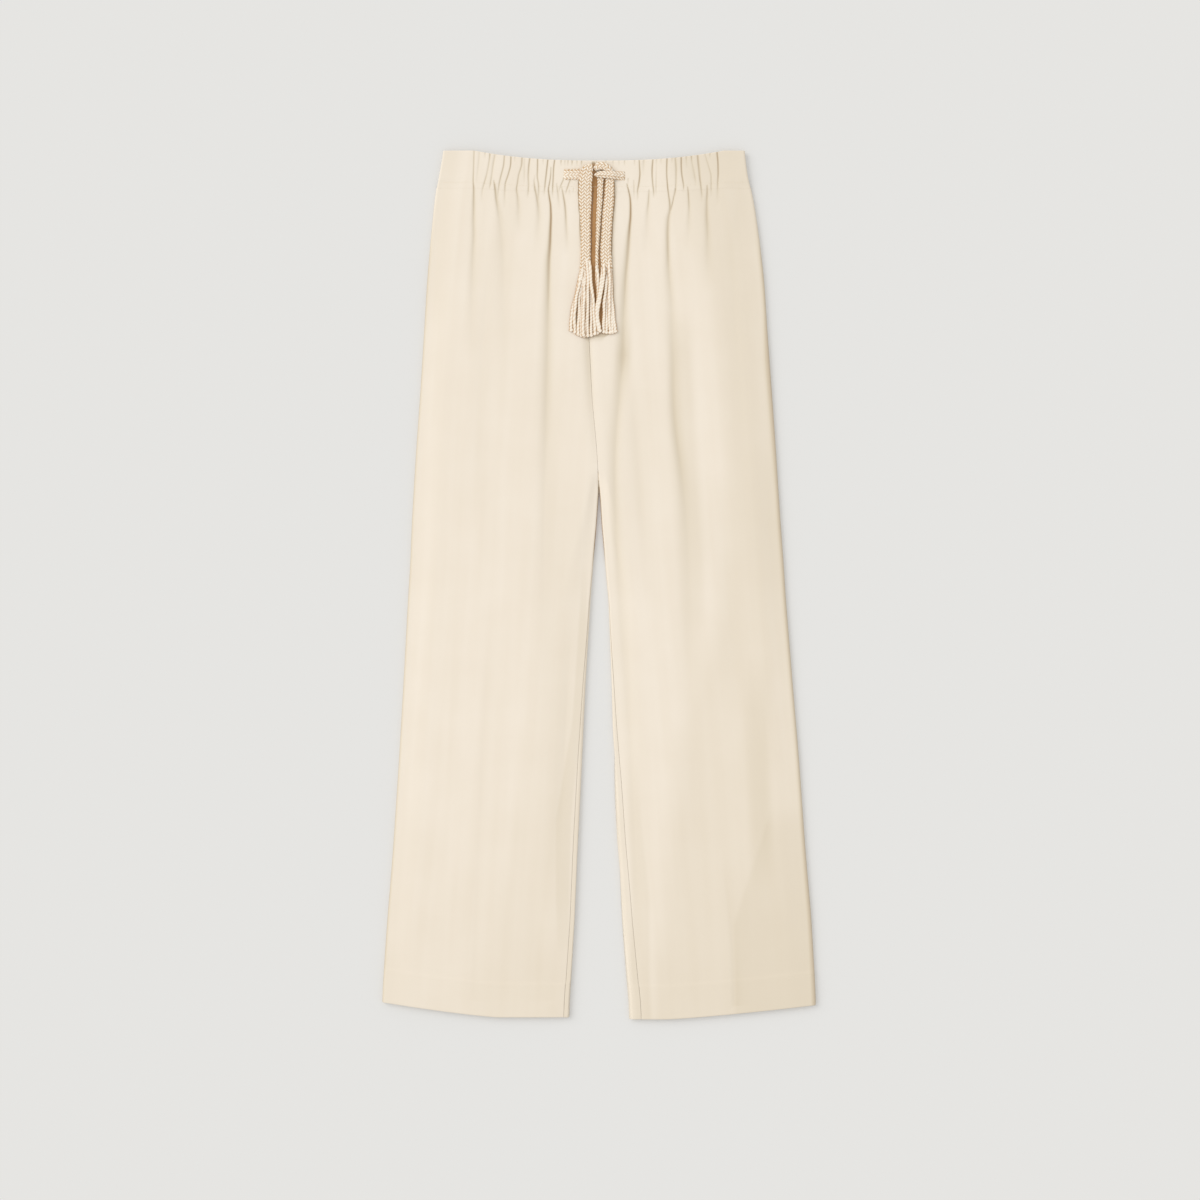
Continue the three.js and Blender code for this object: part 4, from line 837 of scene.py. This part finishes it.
def casing_foot(x):
    return CASING_FOOT - CASING_FOOT_DIP * (1 - flat_share(x))


STEEPEST = 0.36  # the cloth is thick, so no crease is deeper than this share of its width
DARKNESS = 0.80
CREASE_FULL = 1.6
tuck_lines = [[(waist_edge(x) + 4, x, deep, 0.8, 0.9), (waist_edge(x) - 1, x, deep * 0.8, 0.8, 0.9),
               (waist_edge(x) - TUCK_LENGTH, x, 0, 0.8, 0.9)] for x, deep in TUCKS]
CREASES = [flowing(line) for line in LEFT_GATHERS + RIGHT_GATHERS + SOFT_FOLDS + tuck_lines]
SHADES = [(soft, np.array(line, float)) for soft, line in SHADE_STRIPS]
print(len(CREASES), "creases")


def creases(x, y):
    """How far the creases take the cloth down at a place, and how much shade is painted into it there."""
    x, y = np.broadcast_arrays(x, y)
    down, dark = np.zeros(x.shape), np.zeros(x.shape)
    for table in CREASES:
        rows = np.nonzero(((y <= table[0, 0]) & (y >= table[-1, 0])).any(axis=1))[0]
        if not len(rows):
            continue
        part = slice(rows[0], rows[-1] + 1)
        level = y[part]
        inside = (level <= table[0, 0]) & (level >= table[-1, 0])
        off = x[part] - at(table, 1, level)
        deep = at(table, 2, level) * inside
        left, right = at(table, 3, level), at(table, 4, level)
        mean = (left + right) / 2
        shape = np.exp(-np.abs(off / np.where(off < 0, left, right)) ** 1.6)
        down[part] += np.minimum(deep, STEEPEST * mean) * shape
        # painted shade in the crease, darker where it is deep and narrow
        dark[part] += DARKNESS * deep / mean ** 0.8 * shape
    return down, dark


def shade(x, y):
    """How much shade is painted into the cloth under and beside the drawstring, and where it leans away from
    the light.
    """
    dark = np.zeros(np.broadcast(x, y).shape)
    for soft, table in SHADES:
        inside = (y <= table[0, 0]) & (y >= table[-1, 0])
        strip = smooth((x - at(table, 1, y)) / soft) * smooth((at(table, 2, y) - x) / soft)
        dark += strip * at(table, 3, y) * inside
    return np.minimum(dark, 2.0)


def crease_share(full):
    """How much of its depth a crease has where the cloth has risen to this share of its height."""
    return np.minimum(full * CREASE_FULL, 1)


class Section:
    """Everything that the sections of one leg need, for a column of heights."""

    def __init__(self, leg, y):
        self.leg = leg
        self.y = y
        hem = smooth((HEM_TOP + HEM_STEP - y) / HEM_STEP)
        self.cloth = mix(CLOTH, HEM_CLOTH, hem)
        self.radius = mix(CLOTH_TURN, HEM_TURN, hem)
        self.outer = eased(EDGES, leg["side"], y)
        inner = eased(EDGES, MIDDLE, y, 6.0) - leg["inward"] * at(EDGES, HALF_GAP, y)
        self.width = np.abs(inner - self.outer)
        self.closed = smooth((CROTCH - y) / CROTCH_RUN)
        self.turn = self.radius * math.pi / 2
        self.outer_centre = self.cloth / 2 + self.radius
        self.inner_centre = self.width - self.closed * self.outer_centre
        self.wrap = eased(leg["seam"], 1, y, 20.0)
        self.flat = self.inner_centre - self.outer_centre

    def place(self, across):
        """x and y in the garment's frame of a place across the leg."""
        x = self.outer + self.leg["inward"] * across
        at_casing = smooth((self.y - PANEL_TOP + CASING_BLEND) / CASING_BLEND)
        at_hem = smooth((HEM_TOP + HEM_BLEND - self.y) / HEM_BLEND)
        hem = self.leg["hem_low"] + self.leg["hem_rise"] * np.maximum(
            0, 1 - across / self.leg["hem_reach"]) ** 1.25
        lift = at_casing * (casing_foot(x) - SEAM_GAP - PANEL_TOP)
        return x, self.y + lift + at_hem * (hem - HEM_ROW)

    def swell(self, across):
        """Height of the middle of the front's cloth without creases, and how full the leg is there."""
        low = self.cloth / 2 + 2 * self.radius
        from_outer = smooth((across - self.outer_centre) / SHOULDER)
        inner_reach = mix(SEAM_SHOULDER, SHOULDER, smooth((CROTCH - self.y) / FULLER_RUN))
        from_inner = smooth((self.width - across - self.closed * self.outer_centre) / inner_reach)
        from_inner = mix(SEAM_FLAT * (1 - self.closed), 1, from_inner)
        share = from_outer * from_inner
        return low + (at(CREST, 1, self.place(across)[1]) - low) * share, share

    def height(self, across):
        base, share = self.swell(across)
        return base - crease_share(share) * creases(*self.place(across))[0]


# %% [markdown]
# ### The panels
# A panel's section runs along the middle of its cloth: round the outer turn, across the top or along
# the floor, and up to the inseam. Its skin is that line moved half a cloth out and half a cloth in,
# with a small round at each edge. The columns of the skin crowd together at the creases, where the
# form changes fast.

# %% Panel helper
EDGE_ROUND = 0.14  # how far a cut edge is rounded
RIM_TONE = 0.5  # the inseam's needle line is a little deeper in tone
# EDGE_FADE: the painted shade on the outer side turns grows over this length
EDGE_FADE = 110.0  # the side turns grow deeper in tone over this length below the casing
THROAT = (140.0, 18.0)  # where the two legs stand so close that hardly any light gets between
THROAT_FADE = (12.0, 45.0)  # the lengths over which that begins and ends
THROAT_TONE = 1.9
CROWDING = 5.0
CROWD_PLACES = 500  # places across a front at which the creases are looked up
SLOPE_STEP = 0.4
TURN_COLUMNS = 5
TURN_MARGIN = 2.0


def section_line(section, far, top):
    """Middle of the cloth, and the direction that faces out of it, at a way along a section."""
    s = section
    beyond = far - s.turn - s.flat
    up = 1.0 if top else -1.0
    outer_angle = far / s.radius
    inner_angle = (s.turn - beyond) / s.radius if top else beyond / s.radius - math.pi / 2
    on_outer = far < s.turn
    on_flat = ~on_outer & (beyond < 0)
    over = (inner_angle > math.pi / 2) & (not top)
    across = np.select(
        [on_outer, on_flat, over],
        [s.outer_centre - s.radius * np.cos(outer_angle), s.outer_centre + far - s.turn,
         s.inner_centre - (beyond - 2 * s.turn)],
        s.inner_centre + s.radius * np.cos(inner_angle))
    on_top = (on_flat & top) | over
    level = s.cloth / 2
    height = s.height(across)
    rise = (s.height(across + SLOPE_STEP) - s.height(across - SLOPE_STEP)) / (2 * SLOPE_STEP)
    length = np.hypot(1, rise)
    out_x = np.select([on_outer, on_top, on_flat], [-np.cos(outer_angle), -rise / length, 0 * far],
                      np.cos(inner_angle))
    out_z = np.select([on_outer, on_top, on_flat], [up * np.sin(outer_angle), 1 / length, 0 * far - 1],
                      np.sin(inner_angle))
    z = np.select([on_outer, on_top, on_flat],
                  [level + s.radius * (1 + up * np.sin(outer_angle)), height, level + 0 * far],
                  level + s.radius * (1 + np.sin(inner_angle)))
    return across, z, out_x, out_z


def crowded(x, y, count):
    """For each row, shares from 0 to 1 that lie closer together where the creases are."""
    weight = 1 + CROWDING * np.minimum(creases(x, y)[1] ** 0.7, 1.2)
    total = np.cumsum((weight[:, 1:] + weight[:, :-1]) / 2, axis=1)
    total = np.pad(total, ((0, 0), (1, 0)))
    even = np.linspace(0, 1, x.shape[1])
    wanted = np.linspace(0, 1, count)
    return np.stack([np.interp(wanted * row[-1], row, even) for row in total])


def panel_rows(row_plan, row_count):
    """Heights of the rows of a panel's skin, and the share of the full thickness that each has."""
    body = np.interp(np.linspace(0, 1, row_count), *zip(*row_plan))
    angle = np.linspace(0, math.pi / 2, 5)[:-1]
    upper = body[0] - EDGE_ROUND * (1 - np.cos(angle))
    lower = body[-1] + HEM_CLOTH / 2 * (1 - np.cos(angle[::-1]))
    body[0] -= EDGE_ROUND
    body[-1] += HEM_CLOTH / 2
    full = np.concatenate([np.sin(angle), np.ones(row_count), np.sin(angle[::-1])])
    return np.concatenate([upper, body, lower])[:, None], full[:, None]


def panel_painted_shade(section, top, across, out_z, edge_share):
    """How much shade is painted into a panel at each place across its sections."""
    leg, y = section.leg, section.y
    spot = section.place(across)
    below = smooth((y - THROAT[1]) / THROAT_FADE[1]) * smooth((THROAT[0] - y) / THROAT_FADE[0])
    # painted shade from the shade strips, and a darker needle line along the inseam
    tones = shade(*spot) + RIM_TONE * edge_share * section.closed
    # painted shade on the inner walls where the legs stand close at the crotch
    tones = tones + THROAT_TONE * below * smooth((0.8 - out_z) / 0.4) * (across > section.inner_centre)
    if not top:
        # painted shade on the strip of the back that shows at the inseam
        return tones + leg["strip_tone"]
    # painted shade in the creases
    tones = tones + creases(*spot)[1] * crease_share(section.swell(across)[1])
    # painted shade on the outer side turns, growing below the casing
    turned = smooth((PANEL_TOP - y) / EDGE_FADE) * (1 - smooth(across / leg["edge_reach"]))
    return tones + leg["edge_tone"] * turned


def leg_panel(leg, top, columns, row_plan, row_count):
    """A closed skin for the front or the back of one leg."""
    y, full = panel_rows(row_plan, row_count)
    section = Section(leg, y)
    gap = SEAM_GAP / 2 + EDGE_ROUND
    seam = mix(-section.turn, (-section.wrap if top else section.wrap) - gap, section.closed)
    end = 2 * section.turn + section.flat + seam - (1 - section.closed) * EDGE_ROUND
    near = (section.turn + TURN_MARGIN - gap) / (end - gap)
    middle_columns = columns - 2 * TURN_COLUMNS + 1
    between = np.linspace(0, 1, middle_columns)[None, :]
    if top:
        even = np.linspace(0, 1, CROWD_PLACES)[None, :]
        spots = section.place(mix(gap, end, mix(near, 1 - near, even)) - section.turn + section.outer_centre)
        between = crowded(*spots, middle_columns)
    edge = np.linspace(0, 1, TURN_COLUMNS + 1)[:-1]
    shares = np.concatenate([near * edge, mix(near, 1 - near, between), 1 - near * edge[::-1]], axis=1)
    far = mix(gap, end, shares)
    phase = np.array([0.25, 0.5, 0.75]) * math.pi
    far = np.concatenate([far, np.repeat(far[:, -1:], 3, 1), far[:, ::-1], np.repeat(far[:, :1], 3, 1),
                          far[:, :1]], axis=1)
    count = shares.shape[1]
    out_share = np.concatenate([np.ones(count), np.cos(phase), -np.ones(count), -np.cos(phase), [1]])
    edge_share = np.concatenate([np.zeros(count), np.sin(phase), np.zeros(count), -np.sin(phase), [0]])
    line_across, z, out_x, out_z = section_line(section, far, top)
    forward = 1 if top else -1
    half = section.cloth / 2 * out_share * full
    rim = EDGE_ROUND * edge_share * full
    hollows = panel_painted_shade(section, top, line_across, out_z, edge_share) * (out_share > -0.5)
    line_across = line_across + half * out_x + rim * forward * out_z
    z = z + half * out_z - rim * forward * out_x
    x, place_y = section.place(line_across)
    points = np.stack([x, place_y, z], axis=-1) * MM
    points[:, -1] = points[:, 0]
    uv = np.stack([far * MM, place_y * MM], axis=-1)
    return points, uv, hollows


# %% The leg panels
FRONT_ROWS = [(0, PANEL_TOP), (0.22, 415), (0.44, 290), (0.62, 100), (0.93, -474), (0.955, -486),
              (1, HEM_ROW)]
BACK_ROWS = [(0, PANEL_TOP), (0.3, 200), (0.5, 60), (0.9, -470), (1, HEM_ROW)]
panels = {}
for leg_name, leg in LEGS.items():
    for face, top, columns, plan, rows in (("front", True, 158, FRONT_ROWS, 290),
                                           ("back", False, 60, BACK_ROWS, 150)):
        node = f"{leg_name}_{face}"
        form = leg_panel(leg, top, columns, plan, rows)
        panels[node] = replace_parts(skins(node + "_cloth", [form], cotton), node)


# %% [markdown]
# ## The waist casing
# The casing is cloth folded over a wide elastic: rounded along the waist edge, flat behind, and thin at
# its foot, where the elastic ends and the legs are sewn on. On the right side of the cloth the casing
# laps a hair over the legs, so that nothing shows of the seam but the puckers of its gathers.

# %% Casing helper
CASING = 2.4
CASING_TURN = 2.0
BACK_CASING_DROP = 1.5
CASING_LIFT = 0.65
THIN_FROM = 0.72  # share of the casing's height where the elastic ends
LIP = 0.9
LIP_CLEAR = 0.04
LIP_THICK = 0.06
NOTCH = 0.5  # how far a gather draws in the waist edge
SLITS = ((-41.2, 492.6), (30.2, 490.5))  # the middles of the buttonholes, upright, in the tape's way
SLIT_HALF = 5.0
SLIT_DEEP = 1.6
SLIT_TONE = 0.8
FOOT_ROUND = 0.3  # the cut edge at the foot is rounded less than the fold at the waist
BACK_FOOT = 0.4  # the back's foot stands this much higher
CASING_CROWDING = 2.2
CASING_PLACES = 2400  # places along the casing at which the creases are looked up


def slit_depth(x, y):
    return sum(np.exp(-((x - across) / 0.9) ** 4) * np.exp(-((y - level) / SLIT_HALF) ** 8)
               for across, level in SLITS)


def leg_top(x):
    """How high the legs' cloth stands over its lowest level where the casing meets it, and how full."""
    level = np.full(x.shape, PANEL_TOP)
    rise = np.zeros(x.shape)
    full = np.zeros(x.shape)
    for leg in LEGS.values():
        section = Section(leg, level)
        across = (x - section.outer) * leg["inward"]
        base, share = section.swell(across)
        inside = across < section.width
        rise += inside * (base - section.cloth / 2 - 2 * section.radius)
        full += inside * share
    return rise, full


def casing_skin(front, columns, face_rows):
    """A closed skin for one side of the casing, from side seam to side seam. Each place around it has a
    share of the casing's height, a side of the cloth, a reach past the foot and a clearance."""
    up = 1 if front else -1
    gap = SEAM_GAP / 2 + EDGE_ROUND
    ends = rounded_ends(columns, 4)[:, None]
    face = np.linspace(1, 0, face_rows)
    fold = np.linspace(0, math.pi, 9)[1:-1]
    inner = face[::-1]
    foot = np.array([1.25, 1.5, 1.75]) * math.pi
    reach, clear = (LIP, LIP_CLEAR) if front else (0.0, 0.0)
    thick = LIP_THICK if front else 0.0
    share = np.concatenate([[1, 1], face, 0 * fold, inner, 0 * foot + 1, [1, 1, 1]])[None, :]
    phase = np.concatenate([[0, 0], 0 * face, fold, 0 * inner + math.pi, foot, [0, 0, 0]])[None, :]
    beyond = np.concatenate([[reach, reach * 0.93], 0 * face, 0 * fold, 0 * inner, 0 * foot,
                             [0, reach, reach]])[None, :]
    lifted = np.concatenate([[thick + clear] * 2, (thick + clear) * smooth((face - 0.8) / 0.2), 0 * fold,
                             0 * inner, 0 * foot, [clear, clear, thick + clear]])[None, :]
    level = mix(WAIST_TOP, PANEL_TOP, share)
    left = eased(EDGES, LEFT, level)
    width = eased(EDGES, RIGHT, level) - left
    thin = smooth((share - THIN_FROM) / (1 - THIN_FROM)) if front else 0 * share
    half = mix(CASING / 2, CLOTH / 2, thin)
    middle = half + CASING_TURN
    quarter = CASING_TURN * math.pi / 2
    flat = width - 2 * middle
    along = np.linspace(0, 1, columns)[:, None]
    if front:
        even = np.linspace(0, 1, CASING_PLACES)
        strip = creases(left[0, 0] + even[None, :] * width[0, 0] + np.zeros((5, 1)),
                        np.linspace(512, 474, 5)[:, None] + 0 * even[None, :])[1].max(axis=0)
        total = np.pad(np.cumsum(1 + CASING_CROWDING * np.minimum(strip, 1)[1:]), (1, 0))
        along = np.interp(along * total[-1], total, even)
    far = mix(gap, 2 * quarter + flat - gap, along)
    bend_left = far < quarter
    bend_right = far > quarter + flat
    turn = np.select([bend_left, bend_right],
                     [far / CASING_TURN, (2 * quarter + flat - far) / CASING_TURN], math.pi / 2)
    sign = np.where(bend_right, 1.0, -1.0)
    across = np.select([bend_left, bend_right],
                       [middle - CASING_TURN * np.cos(turn), width - middle + CASING_TURN * np.cos(turn)],
                       middle + far - quarter)
    out_x = sign * np.cos(turn)
    out_z = up * np.sin(turn)
    x = left + across
    edge_share = smooth(np.minimum(across - middle, width - middle - across) / SHOULDER)
    rise, full = leg_top(x)
    swell = mix(CASING_LIFT * edge_share, rise, thin) * (1 if front else 0)
    z = middle + up * CASING_TURN * np.sin(turn) + swell
    surface = (half * np.cos(phase) + lifted) * ends
    x = x + surface * out_x
    top = waist_edge(x) - (0 if front else BACK_CASING_DROP) - half
    low = casing_foot(x) + (0.0 if front else BACK_FOOT)
    squeezed = np.where(phase > math.pi, FOOT_ROUND, 1.0)
    y = mix(top, low, share) + half * np.sin(phase) * ends * squeezed - beyond * ends
    z = z + surface * out_z
    hollows = 0 * z
    if front:
        down, dark = creases(x, y)
        fade = crease_share(mix(edge_share, full, thin))
        outside = np.clip(np.cos(phase), 0, 1)
        slit = slit_depth(x, y)
        z = z - (down * fade * mix(outside, 1, thin) + SLIT_DEEP * slit * outside) * ends * out_z
        y = y - NOTCH * dark * fade * bump(share, 0, 0.1) * (np.cos(phase) > -0.9) * ends
        # painted shade in the gathers, in the buttonhole slits and beside the drawstring
        hollows = (dark * fade + SLIT_TONE * slit + shade(x, y)) * (np.cos(phase) > -0.2)
    points = np.stack([x, y, z], axis=-1) * MM
    points[:, -1] = points[:, 0]
    uv = np.stack(np.broadcast_arrays(far * MM, level * MM), axis=-1)
    return points, uv, hollows


# %% The casing's pieces
casings = {}
for node, front, columns, face_rows in (("front_waist_casing", True, 900, 46),
                                        ("back_waist_casing", False, 120, 8)):
    form = casing_skin(front, columns, face_rows)
    casings[node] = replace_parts(skins(node + "_cloth", [form], cotton), node)

# %% [markdown]
# ## Sewing
# The casing is held by a row of straight stitches just above its foot, and the hem by a blind stitch
# that only pricks the face every few millimetres. Thread is thin, so each stitch is a short capsule
# of a few dozen faces. They are placed on the cloth below them, which is found by looking down on it.

# %% Stitches
STITCH = 2.6
STITCH_PITCH = 3.5
THREAD = 0.17  # radius
STITCHED_AT = 0.86  # share of the casing's height
PRICK = 1.2
PRICK_PITCH = 8.5


def surface_below(piece, x, y):
    """Height of a piece's upper face at a place, in millimetres, or None beside it."""
    hit, spot, _, _ = piece.ray_cast(Vector((x * MM, y * MM, 0.05)), Vector((0, 0, -1)))
    return spot.z / MM if hit else None


def stitch_row(name, spots, way, long):
    """One object with a small capsule for each stitch. Spots and sizes are in millimetres."""
    bm = bmesh.new()
    length = math.hypot(*way)
    for x, y, z in spots:
        made = bmesh.ops.create_uvsphere(bm, u_segments=8, v_segments=5, radius=THREAD * MM)
        for v in made["verts"]:
            reach = v.co.x + math.copysign((long / 2 - THREAD) * MM, v.co.x)
            v.co = Vector((x * MM + (reach * way[0] - v.co.y * way[1]) / length,
                           y * MM + (v.co.y * way[0] + reach * way[1]) / length, z * MM + v.co.z))
    for face in bm.faces:
        face.smooth = True
    piece = placed(name, bm, thread)
    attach(piece, BODY)
    print(name, "has", len(spots), "stitches")


bpy.context.view_layer.update()
row = []
for x in np.arange(-186, 172, STITCH_PITCH):
    y = mix(waist_edge(x), casing_foot(x), STITCHED_AT)
    levels = [surface_below(casings["front_waist_casing"], x + step, y) for step in (-0.8, 0.8)]
    if None not in levels:
        row.append((x, y, max(levels)))
stitch_row("casing_stitches", row, (1.0, 0.0), STITCH)

row = []
for leg_name, leg in LEGS.items():
    section = Section(leg, np.array([[HEM_TOP - 4.0]]))
    for across in np.arange(6, float(section.width[0, 0]) - 4, PRICK_PITCH):
        x, y = (float(v[0, 0]) for v in section.place(np.array([[across]])))
        level = surface_below(panels[leg_name + "_front"], x, y)
        if level is not None:
            row.append((x, y, level - 0.02))
stitch_row("hem_blind_stitches", row, (1.0, 0.35), PRICK)
